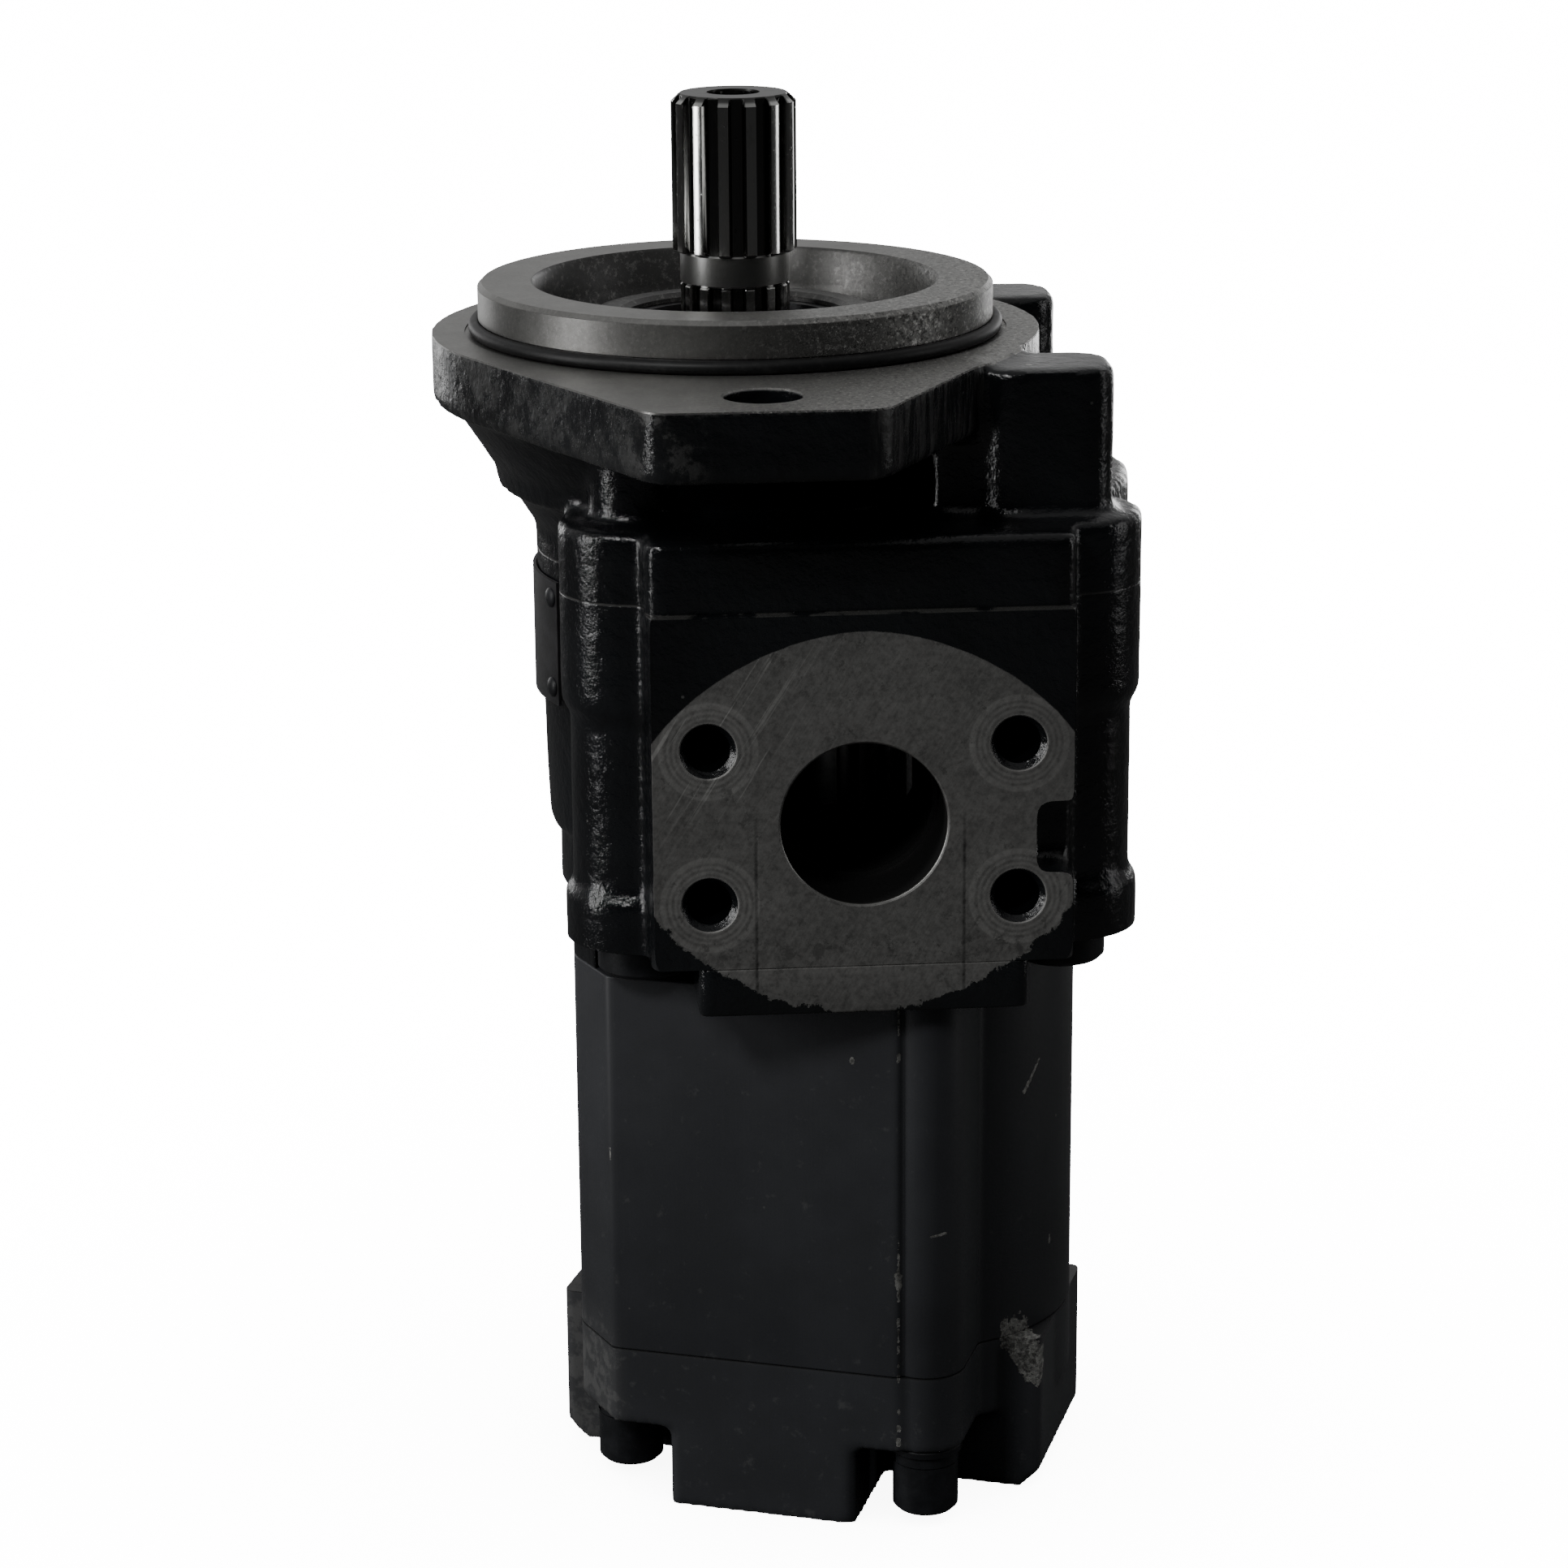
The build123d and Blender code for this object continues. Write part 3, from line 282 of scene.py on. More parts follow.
class Shader(Graph):
    """A material's graph, with the patterns that the finishes share. Patterns work in millimetres."""

    def __init__(self, name: str) -> None:
        """Start a material."""
        self.material = bpy.data.materials.new(name)
        self.material.use_nodes = True
        self.material.node_tree.nodes.clear()
        super().__init__(self.material.node_tree)
        place = self.node("ShaderNodeTexCoord", output="Object")
        scale = {"Vector": place, "Scale": (1 / MM,) * 3}
        self.place = self.node("ShaderNodeMapping", values=scale)
        self.x, self.y, self.z = self.split(self.place)

    def split(self, vector: Value) -> tuple[Value, Value, Value]:
        """The three components of a vector."""
        node = self.raw("ShaderNodeSeparateXYZ", {}, {0: vector})
        return tuple(Value(self, socket) for socket in node.outputs)

    def turned(self, degrees: float) -> Value:
        """The place turned about the shaft's axis."""
        values = {"Vector": self.place, "Rotation": (0.0, 0.0, math.radians(degrees))}
        return self.node("ShaderNodeMapping", values=values)

    def stretched(self, scale: Sequence[float], vector: Value | None = None) -> Value:
        """The place, or another vector, with each axis scaled."""
        values = {"Vector": vector or self.place, "Scale": tuple(scale)}
        return self.node("ShaderNodeMapping", values=values)

    def grain(
        self, size: float, detail: float = 3.0, rough: float = 0.55, vector: Value | None = None,
    ) -> Value:
        """Cloudy noise.

        Args:
            size: Rough size of a lump, in millimetres.
            detail: Octaves.
            rough: How strong the fine octaves are.
            vector: Where to read it, if not at the place itself.

        Returns:
            Values round 0.5.
        """
        values = {
            "Vector": vector or self.place, "Scale": 1.0 / size, "Detail": detail, "Roughness": rough}
        return self.node("ShaderNodeTexNoise", values=values)

    def cells(self, size: float, random: float = 1.0, vector: Value | None = None) -> Value:
        """Distance to the nearest point of a scatter, in cells."""
        values = {"Vector": vector or self.place, "Scale": 1.0 / size, "Randomness": random}
        return self.node("ShaderNodeTexVoronoi", {"feature": "F1"}, values, "Distance")

    def mix(self, share: Any, first: Any, second: Any) -> Value:
        """Colour that goes from the first to the second as share goes from 0 to 1."""
        first, second = (
            (*colour, 1.0) if isinstance(colour, tuple) else colour for colour in (first, second))
        return self.node(
            "ShaderNodeMix", {"data_type": "RGBA", "clamp_factor": True},
            {0: share, 6: first, 7: second}, 2)

    def bump(self, height: Value, depth: float, under: Value | None = None) -> Value:
        """Normal from a height pattern.

        Args:
            height: The pattern, from 0 to 1.
            depth: How deep a full step is, in millimetres.
            under: Normal to start from.

        Returns:
            The normal.
        """
        values = {"Height": height, "Strength": 1.0, "Distance": depth * MM}
        if under is not None:
            values["Normal"] = under
        return self.node("ShaderNodeBump", values=values)

    def finish(self, **inputs: Any) -> bpy.types.Material:
        """Close the graph with a Principled surface.

        Args:
            **inputs: The shader's inputs, with _ for a space.

        Returns:
            The material.
        """
        values = {name.replace("_", " "): value for name, value in inputs.items()}
        surface = self.node("ShaderNodeBsdfPrincipled", values=values)
        self.raw("ShaderNodeOutputMaterial", {}, {"Surface": surface})
        return self.material


# ---------------------------------------------------------------- mesh work
def new_object(name: str, mesh: bpy.types.Mesh) -> bpy.types.Object:
    """Put a mesh in the scene."""
    made = bpy.data.objects.new(name, mesh)
    bpy.context.scene.collection.objects.link(made)
    return made


def from_bmesh(name: str, work: bmesh.types.BMesh) -> bpy.types.Object:
    """Turn a bmesh into an object and free it."""
    mesh = bpy.data.meshes.new(name)
    work.to_mesh(mesh)
    work.free()
    return new_object(name, mesh)


def evaluated(thing: bpy.types.Object) -> None:
    """Replace an object's mesh with what its modifiers make, and remove them."""
    graph = bpy.context.evaluated_depsgraph_get()
    graph.update()
    mesh = bpy.data.meshes.new_from_object(thing.evaluated_get(graph))
    old = thing.data
    thing.modifiers.clear()
    thing.data = mesh
    bpy.data.meshes.remove(old)


def node_bmesh(node: str) -> bmesh.types.BMesh:
    """A CAD node's mesh with its doubles merged."""
    work = bmesh.new()
    work.from_mesh(frame["nodes"][node].data)
    bmesh.ops.remove_doubles(work, verts=work.verts, dist=2e-6)
    return work


def solids_of(node: str) -> list[tuple[Vector, Vector]]:
    """The box of each separate solid of a CAD node, as (low, high)."""
    work = node_bmesh(node)
    left = set(work.verts)
    boxes = []
    while left:
        reached = {left.pop()}
        front = list(reached)
        while front:
            near = [edge.other_vert(vert) for vert in front for edge in vert.link_edges]
            front = list({vert for vert in near if vert not in reached})
            reached.update(front)
        left -= reached
        spots = [vert.co for vert in reached]
        low = Vector([min(spot[i] for spot in spots) for i in range(3)])
        high = Vector([max(spot[i] for spot in spots) for i in range(3)])
        boxes.append((low, high))
    work.free()
    boxes.sort(key=lambda pair: tuple(round(part, 5) for part in pair[0]))
    return boxes


def outline_of(node: str, axis: Axis, level: float) -> list[Vector]:
    """The outer outline of a CAD node where a plane across an axis cuts it.

    Args:
        node: The CAD node.
        axis: The axis that the plane is across.
        level: Where on the axis, in metres.

    Returns:
        The corners of the longest loop, in order.
    """
    work = node_bmesh(node)
    normal = Vector([1.0 if i == axis.value else 0.0 for i in range(3)])
    everything = work.verts[:] + work.edges[:] + work.faces[:]
    bmesh.ops.bisect_plane(
        work, geom=everything, dist=1e-7, plane_co=normal * level, plane_no=normal,
        clear_inner=True, clear_outer=True)
    bmesh.ops.remove_doubles(work, verts=work.verts, dist=2e-6)
    loops = []
    left = set(work.verts)
    while left:
        start = min(left, key=lambda vert: tuple(vert.co))
        loop, here, before = [start], start, None
        while True:
            onward = [edge.other_vert(here) for edge in here.link_edges]
            onward = [vert for vert in onward if vert is not before and vert in left and vert not in loop]
            if not onward:
                break
            before, here = here, onward[0]
            loop.append(here)
        left -= set(loop)
        loops.append([vert.co.copy() for vert in loop])
    work.free()
    return max(loops, key=loop_length)


def loop_length(loop: Sequence[Vector]) -> float:
    """The way round a closed loop of points."""
    return sum((a - b).length for a, b in zip(loop, list(loop[1:]) + [loop[0]]))


def even_loop(loop: Sequence[Vector], step: float) -> list[Vector]:
    """The same closed loop with evenly spaced points."""
    total = loop_length(loop)
    count = max(8, round(total / step))
    points, walked, wanted = [], 0.0, 0.0
    for here, after in zip(loop, list(loop[1:]) + [loop[0]]):
        length = (after - here).length
        while wanted < walked + length and len(points) < count:
            points.append(here.lerp(after, (wanted - walked) / length))
            wanted = len(points) * total / count
        walked += length
    return points


def soft_loop(loop: Sequence[Vector], rounds: int) -> list[Vector]:
    """A closed loop with its corners eased."""
    points = list(loop)
    for _ in range(rounds):
        count = len(points)
        points = [
            (points[i - 1] + 2 * points[i] + points[(i + 1) % count]) / 4 for i in range(count)]
    return points


def inset_loop(loop: Sequence[Vector], axis: Axis, depth: float) -> list[Vector]:
    """A closed flat loop moved inwards by a depth."""
    normal = Vector([1.0 if i == axis.value else 0.0 for i in range(3)])
    count = len(loop)
    area = sum((loop[i - 1].cross(loop[i])).dot(normal) for i in range(count))
    side = 1.0 if area > 0 else -1.0
    moved = []
    for i in range(count):
        along = (loop[(i + 1) % count] - loop[i - 1]).normalized()
        moved.append(loop[i] + normal.cross(along) * side * depth)
    return moved


def loft(name: str, rings: Sequence[Sequence[Vector]]) -> bpy.types.Object:
    """Closed solid through rings of equally many points, with flat ends.

    Args:
        name: The object's name.
        rings: The rings, in order along the solid.

    Returns:
        The solid, with its faces outwards.
    """
    work = bmesh.new()
    rows = [[work.verts.new(point) for point in ring] for ring in rings]
    count = len(rows[0])
    for low, high in zip(rows, rows[1:]):
        for i in range(count):
            j = (i + 1) % count
            work.faces.new((low[i], low[j], high[j], high[i]))
    work.faces.new(tuple(reversed(rows[0])))
    work.faces.new(tuple(rows[-1]))
    bmesh.ops.recalc_face_normals(work, faces=work.faces)
    return from_bmesh(name, work)


def prism(
    name: str, loop: Sequence[Vector], axis: Axis, low: float, high: float, ease: float = 0.0,
) -> bpy.types.Object:
    """Solid of one outline between two levels of an axis, with its end edges eased.

    Args:
        name: The object's name.
        loop: The outline's points; their place along the axis is ignored.
        axis: The axis.
        low: First level.
        high: Second level.
        ease: How far the end edges are rounded.

    Returns:
        The solid.
    """
    def at(points: Sequence[Vector], level: float) -> list[Vector]:
        """Points moved to a level."""
        moved = [point.copy() for point in points]
        for point in moved:
            point[axis.value] = level
        return moved

    if not ease:
        return loft(name, [at(loop, low), at(loop, high)])
    rings = []
    for end, into, shares in ((low, 1, (0.0, 0.3, 0.65, 1.0)), (high, -1, (1.0, 0.65, 0.3, 0.0))):
        for share in shares:
            turn = share * math.pi / 2
            inward = ease * (1 - math.sin(turn))
            rings.append(at(inset_loop(loop, axis, inward), end + into * ease * (1 - math.cos(turn))))
    return loft(name, rings)


def turned(name: str, profile: Sequence[tuple[float, float]], count: int = 128) -> bpy.types.Object:
    """Solid of revolution about the shaft's axis.

    Args:
        name: The object's name.
        profile: Closed outline as (radius, level) in millimetres; a radius of 0 is on the axis.
        count: Facets round the axis.

    Returns:
        The solid.
    """
    work = bmesh.new()
    rows = []
    for radius, level in profile:
        if radius == 0:
            rows.append([work.verts.new((0, 0, level * MM))])
            continue
        angles = [2 * math.pi * i / count for i in range(count)]
        rows.append([
            work.verts.new((radius * MM * math.cos(a), radius * MM * math.sin(a), level * MM))
            for a in angles])
    for first, second in zip(rows, rows[1:] + rows[:1]):
        if len(first) == 1 and len(second) == 1:
            continue
        for i in range(count):
            j = (i + 1) % count
            if len(first) == 1:
                work.faces.new((first[0], second[j], second[i]))
            elif len(second) == 1:
                work.faces.new((first[i], first[j], second[0]))
            else:
                work.faces.new((first[i], first[j], second[j], second[i]))
    bmesh.ops.recalc_face_normals(work, faces=work.faces)
    return from_bmesh(name, work)


def pin(
    name: str, start: Vector, way: Vector, length: float, radius: float, end_radius: float | None = None,
    count: int = 64,
) -> bpy.types.Object:
    """Cylinder or cone from a point along a direction.

    Args:
        name: The object's name.
        start: Centre of the first end.
        way: Direction.
        length: Length.
        radius: Radius at the start.
        end_radius: Radius at the end, if it differs.
        count: Facets.

    Returns:
        The solid.
    """
    way = way.normalized()
    side = way.orthogonal().normalized()
    other = way.cross(side)
    rings = []
    for share, size in ((0.0, radius), (1.0, radius if end_radius is None else end_radius)):
        centre = start + way * (length * share)
        rings.append([
            centre + (side * math.cos(a) + other * math.sin(a)) * size
            for a in (2 * math.pi * i / count for i in range(count))])
    return loft(name, rings)


def slab(name: str, low: Sequence[float], high: Sequence[float]) -> bpy.types.Object:
    """Box between two corners in millimetres, used as stock or as a cutter."""
    x0, y0, z0 = (part * MM for part in low)
    x1, y1, z1 = (part * MM for part in high)
    corners = [(x0, y0), (x1, y0), (x1, y1), (x0, y1)]
    return loft(name, [[Vector((x, y, z)) for x, y in corners] for z in (z0, z1)])


def joined(name: str, solids: Sequence[bpy.types.Object]) -> bpy.types.Object:
    """One object of several solids, which are removed."""
    work = bmesh.new()
    for solid in solids:
        work.from_mesh(solid.data)
        discard(solid)
    return from_bmesh(name, work)


def discard(thing: bpy.types.Object) -> None:
    """Remove an object and its mesh."""
    mesh = thing.data
    bpy.data.objects.remove(thing)
    bpy.data.meshes.remove(mesh)


def carve(thing: bpy.types.Object, cutters: Sequence[bpy.types.Object]) -> None:
    """Cut a solid with others, one after another, and remove the cutters."""
    for cutter in cutters:
        before = len(thing.data.vertices)
        for solver in ("MANIFOLD", "EXACT"):
            modifier = thing.modifiers.new("cut", "BOOLEAN")
            modifier.operation = "DIFFERENCE"
            modifier.solver = solver
            modifier.object = cutter
            evaluated(thing)
            if len(thing.data.vertices) not in (0, before):
                break
            LOG.warning("%s: %s changed nothing with %s", thing.name, cutter.name, solver)
        discard(cutter)


def as_cast(
    name: str, solids: Sequence[bpy.types.Object], voxel: float, rounds: int, waviness: float,
) -> bpy.types.Object:
    """Fuse solids into one casting with eased corners and a slightly uneven skin.

    Args:
        name: The object's name.
        solids: Closed solids, which are removed.
        voxel: Size of the mesh's faces, in metres.
        rounds: How often the surface is eased.
        waviness: Height of the skin's unevenness, in metres.

    Returns:
        The casting.
    """
    casting = joined(name, solids)
    remesh = casting.modifiers.new("fuse", "REMESH")
    remesh.mode = "VOXEL"
    remesh.voxel_size = voxel
    ease = casting.modifiers.new("ease", "SMOOTH")
    ease.factor = 0.5
    ease.iterations = rounds
    evaluated(casting)
    if waviness:
        shifts = []
        for vert in casting.data.vertices:
            swell = noise.noise(vert.co / (9 * MM)) + 0.6 * noise.noise(vert.co / (3.5 * MM))
            shifts.append(vert.normal * swell * waviness)
        for vert, shift in zip(casting.data.vertices, shifts):
            vert.co += shift
    return casting


def axis_pin(
    name: str, box: tuple[Vector, Vector], low: float, high: float, radius: float,
) -> bpy.types.Object:
    """Cylinder along the shaft's direction through the middle of a box.

    Args:
        name: The object's name.
        box: Lowest and highest corner of what it goes round or through, in metres.
        low: Lower end.
        high: Upper end.
        radius: Radius.

    Returns:
        The solid.
    """
    middle = (box[0] + box[1]) / 2
    return pin(name, Vector((middle.x, middle.y, low)), UP, high - low, radius)


def gear_radius(node: str) -> float:
    """Outer radius of a gear's CAD node, in metres."""
    low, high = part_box(node)
    return (high.y - low.y) / 2


def node_copy(node: str) -> bpy.types.Object:
    """A free copy of a CAD node's mesh."""
    return from_bmesh(node + "_copy", node_bmesh(node))


def dress(thing: bpy.types.Object, material: bpy.types.Material, sharp: float = 32.0) -> None:
    """Give a finished mesh its material and its shading.

    Args:
        thing: The object.
        material: Its finish.
        sharp: Edges that turn more than this many degrees stay sharp.
    """
    mesh = thing.data
    mesh.materials.clear()
    mesh.materials.append(material)
    mesh.polygons.foreach_set("material_index", [0] * len(mesh.polygons))
    mesh.shade_smooth()
    mesh.set_sharp_from_angle(angle=math.radians(sharp))
    mesh.update()


def hold_inside(thing: bpy.types.Object) -> None:
    """Pull in any point that stands a hair outside the CAD model's box."""
    low, high = CAD_BOX
    for vertex in thing.data.vertices:
        vertex.co = [min(max(part, least), most) for part, least, most in zip(vertex.co, low, high)]


def install(thing: bpy.types.Object, body: Body, slot: Slot, *nodes: str) -> None:
    """Hang a finished piece on its body in place of CAD nodes, and report it."""
    hold_inside(thing)
    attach(thing, body.value)
    if nodes:
        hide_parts(*nodes)
    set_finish(thing, slot.value)
    LOG.info("%s: %d faces, on %s", thing.name, len(thing.data.polygons), body.value)


def mount(name: str) -> tuple[Vector, Vector, Mapping[str, float]]:
    """Place, direction and sizes of one of the record's mounts."""
    found = next(item for item in frame["record"]["mounts"] if item["name"] == name)
    return Vector(found["pos_m"]), Vector(found["axis"]), found["dims"]


# ---------------------------------------------------------------- finishes
@dataclass(frozen=True)
class GlossCasting:
    """Gloss black paint over a sand casting, bare where it was machined after painting.

    Attributes:
        paint: Colour of the paint.
        iron: Colour of bare iron.
        port_middle: X and Z of the inlet port's centre, in millimetres.
        port_reach: Half width and half height of the bare patch round the port.
        port_face: Distance of the port faces from the shaft's axis.
    """

    name: str = "gloss_casting"
    paint: tuple[float, float, float] = (0.0042, 0.0048, 0.0056)
    iron: tuple[float, float, float] = (0.23, 0.228, 0.22)
    film: tuple[float, float, float] = (0.062, 0.062, 0.06)
    port_middle: tuple[float, float] = (19.0, -84.0)
    port_reach: tuple[float, float] = (46.5, 37.6)
    port_face: float = 65.4
    hole_spacing: tuple[float, float] = (58.74, 30.18)
    joint: float = -43.0
    slant: float = 58.0

    def port_patch(self, sh: Shader) -> Value:
        """1 on the bare patch of the inlet face, with a ragged paint edge."""
        across = abs(sh.x - self.port_middle[0]) / self.port_reach[0]
        up = abs(sh.z - self.port_middle[1]) / self.port_reach[1]
        oval = across ** 1.8 + up ** 1.8
        lower = sh.z.ramp(-88.0, -106.0)
        nibble = (sh.grain(3.4, 5.0, 0.72) - 0.5) * (0.025 + 0.24 * lower)
        return (oval + nibble).ramp(1.004, 0.992) * (-sh.y).above(self.port_face - 0.25)

    def hole_reach(self, sh: Shader) -> Value:
        """Distance from the nearest of the inlet's four tapped holes."""
        across = abs(abs(sh.x - self.port_middle[0]) - self.hole_spacing[0] / 2)
        up = abs(abs(sh.z - self.port_middle[1]) - self.hole_spacing[1] / 2)
        return (across * across + up * up) ** 0.5

    def lay(self, sh: Shader, scale: Sequence[float]) -> Value:
        """Where to read the milling marks, which lie along the cutter's slanted path."""
        slanted = sh.node(
            "ShaderNodeVectorRotate", {"rotation_type": "Y_AXIS"},
            {"Vector": sh.place, "Angle": math.radians(self.slant)})
        return sh.stretched(scale, slanted)

    def rim_film(self, sh: Shader, radius: Value) -> Value:
        """Share of thin, rubbed paint on the flange's rim, by side."""
        rim = sh.z.above(-14.6) * radius.above(57.0) * sh.x.below(43.4)
        patchy = sh.grain(7.0, 6.0, 0.7)
        fine = sh.grain(1.4, 4.0, 0.7)
        streak = sh.grain(1.0, 4.0, 0.65, sh.stretched((0.5, 0.5, 0.07)))
        left = sh.x.ramp(-10.0, -27.0) * (0.25 + patchy.ramp(0.42, 0.6)) * (0.5 + fine)
        corner = sh.x.ramp(-9.0, -14.0) * sh.x.ramp(-27.0, -20.0) * patchy.ramp(0.5, 0.58)
        right = sh.x.ramp(17.0, 20.0) * (0.2 + streak.ramp(0.4, 0.62)) * 0.6
        lip = (sh.z.ramp(-1.0, -0.2) + sh.z.ramp(-12.6, -13.6) * 0.7) * fine.ramp(0.46, 0.6)
        return (rim * (left * 0.34 + corner * 0.4 + right * 0.8 + lip * 0.5)).clamped()

    def iron_colour(self, sh: Shader, patch: Value, radius: Value) -> tuple[Value, Value, Value]:
        """Bare iron: its colour, how stained it is, and its height pattern."""
        fine = sh.grain(0.7, 5.0, 0.75)
        cloud = sh.grain(7.0, 5.0, 0.65)
        lines = sh.grain(1.0, 3.0, 0.6, self.lay(sh, (0.06, 0.6, 2.4)))
        scratch = sh.grain(1.0, 2.0, 0.55, self.lay(sh, (0.035, 0.6, 1.3))).ramp(0.6, 0.68)
        upper_left = sh.x.ramp(22.0, -8.0) * sh.z.ramp(-92.0, -70.0)
        blot = sh.grain(4.6, 6.0, 0.74).ramp(0.585, 0.66)
        spot = sh.grain(1.5, 3.0, 0.6).ramp(0.66, 0.7)
        band = sh.z.ramp(-104.0, -108.0) * sh.z.ramp(-113.5, -110.5) * sh.grain(3.0, 5.0, 0.75).ramp(0.5, 0.6)
        right_stain = sh.x.ramp(34.0, 50.0) * sh.z.ramp(-82.0, -74.0) * cloud.ramp(0.4, 0.6)
        dirt = (patch * (blot * 0.8 + spot * 0.5 + band * 0.8 + right_stain * 0.4)).clamped()
        # pits and flecks on the right of the pilot and in its bore
        right = (sh.x * 0.8 - sh.y * 0.3).ramp(6.0, 40.0)
        pilot = (1 - patch) * sh.z.above(-2.2)
        pit_share = pilot * (0.12 + 0.88 * right)
        pit = sh.grain(1.1, 5.0, 0.8).ramp(0.5, 0.6)
        fleck = sh.grain(0.9, 4.0, 0.8).ramp(0.52, 0.64)
        turned_side = radius.above(50.3) * sh.z.above(0.1) * sh.z.below(8.9)
        tone = 1.0 + 0.5 * (fine - 0.5) + 0.7 * (cloud - 0.5) + patch * (lines - 0.5) * 0.5
        tone = tone * (1 - 0.22 * turned_side)
        tone = tone * (1 - patch * (0.26 + 0.36 * sh.grain(1.6, 6.0, 0.82).ramp(0.36, 0.74)))
        reach = self.hole_reach(sh)
        ring = abs(reach - 9.2).ramp(0.5, 0.1) * patch
        spotface = reach.below(9.2) * patch
        tone = tone + spotface * (0.1 + 0.12 * sh.math("SINE", reach * 6.0)) + ring * 0.25
        lower = sh.z.ramp(-78.0, -92.0)
        pass_line = (abs(abs(sh.x - 18.3) - 19.8).ramp(0.5, 0.05)) * patch * lower
        tone = tone - pass_line * 0.35
        tone = tone + scratch * upper_left * patch * 0.6
        colour = sh.mix((tone * 0.5).clamped(), (0.0, 0.0, 0.0), tuple(part * 2.0 for part in self.iron))
        dark = tuple(part * 0.2 for part in self.iron)
        light = tuple(min(1.0, part * 2.6) for part in self.iron)
        colour = sh.mix(dirt * 0.85, colour, dark)
        colour = sh.mix((pit * pit_share * 0.8).clamped(), colour, dark)
        colour = sh.mix((fleck * pit_share * 0.75).clamped(), colour, light)
        height = fine * 0.4 + lines * patch * 0.5 - pit * pit_share - dirt * 0.5 - pass_line * 0.8
        return colour, dirt, height

    def build(self) -> bpy.types.Material:
        """Make the material."""
        sh = Shader(self.name)
        patch = self.port_patch(sh)
        radius = (sh.x * sh.x + sh.y * sh.y) ** 0.5
        depth = (sh.x - self.port_middle[0]) ** 2.0 + (sh.z - self.port_middle[1]) ** 2.0
        bore = (-sh.y).above(10.0) * depth.below(16.4 * 16.4) * sh.z.below(-50.0)
        cavity = radius.below(40.2) * sh.z.above(-10.0)
        bare = patch.most(sh.z.above(-0.35)).most(bore).most(cavity)
        iron, dirt, height = self.iron_colour(sh, patch, radius)
        film = self.rim_film(sh, radius)
        inside = bore * (-sh.y).below(self.port_face - 1.0)
        hollow = cavity * (0.85 - 0.5 * (sh.x * 0.8 + sh.y * 0.4).ramp(8.0, 34.0))
        hollow = hollow * (1 - 0.6 * sh.grain(1.6, 5.0, 0.8).ramp(0.52, 0.62))
        shade = inside.most(hollow.clamped())
        iron = sh.mix(shade, iron, (0.012, 0.012, 0.012))

        dust = sh.cells(7.0).ramp(0.055, 0.03) * sh.grain(20.0).ramp(0.46, 0.58)
        chip = sh.cells(17.0).ramp(0.05, 0.035) * sh.grain(33.0).ramp(0.52, 0.56)
        cloud = sh.grain(30.0, 3.0).ramp(0.35, 0.7)
        seam = abs(sh.z - self.joint).ramp(0.34, 0.08)
        paint = sh.mix(cloud, self.paint, tuple(part * 1.8 for part in self.paint))
        paint = sh.mix(dust * 0.5, paint, (0.12, 0.12, 0.115))
        paint = sh.mix(chip, paint, (0.3, 0.3, 0.28))
        paint = sh.mix(film, paint, self.film)
        # painted highlight: a broken lighter line along the joint stands in for the light on its rounded
        # edges; the bump below cuts the joint's groove
        paint = sh.mix(seam * sh.grain(9.0).ramp(0.42, 0.5), paint, (0.05, 0.05, 0.048))
        colour = sh.mix(bare, paint, iron)

        cast = sh.grain(2.6, 5.0, 0.62)
        skin = sh.bump(cast, 0.32)
        skin = sh.bump(sh.grain(0.9, 2.0, 0.5) - seam, 0.05, skin)
        machined = sh.bump(height, 0.035)
        normal = sh.node(
            "ShaderNodeMix", {"data_type": "VECTOR", "clamp_factor": True},
            {0: bare, 4: skin, 5: machined}, 1)
        gloss = 0.09 + 0.12 * sh.grain(12.0, 4.0).ramp(0.35, 0.7) + 0.4 * film + 0.3 * dust
        worked = 0.4 + 0.12 * patch + 0.15 * dirt
        rough = gloss + (worked - gloss) * bare
        metal = bare * (0.92 - 0.62 * patch) * (1 - dirt * 0.6) * (1 - shade)
        return sh.finish(
            Base_Color=colour, Metallic=metal.clamped(), Roughness=rough.clamped(), Normal=normal,
            Specular_IOR_Level=0.5)


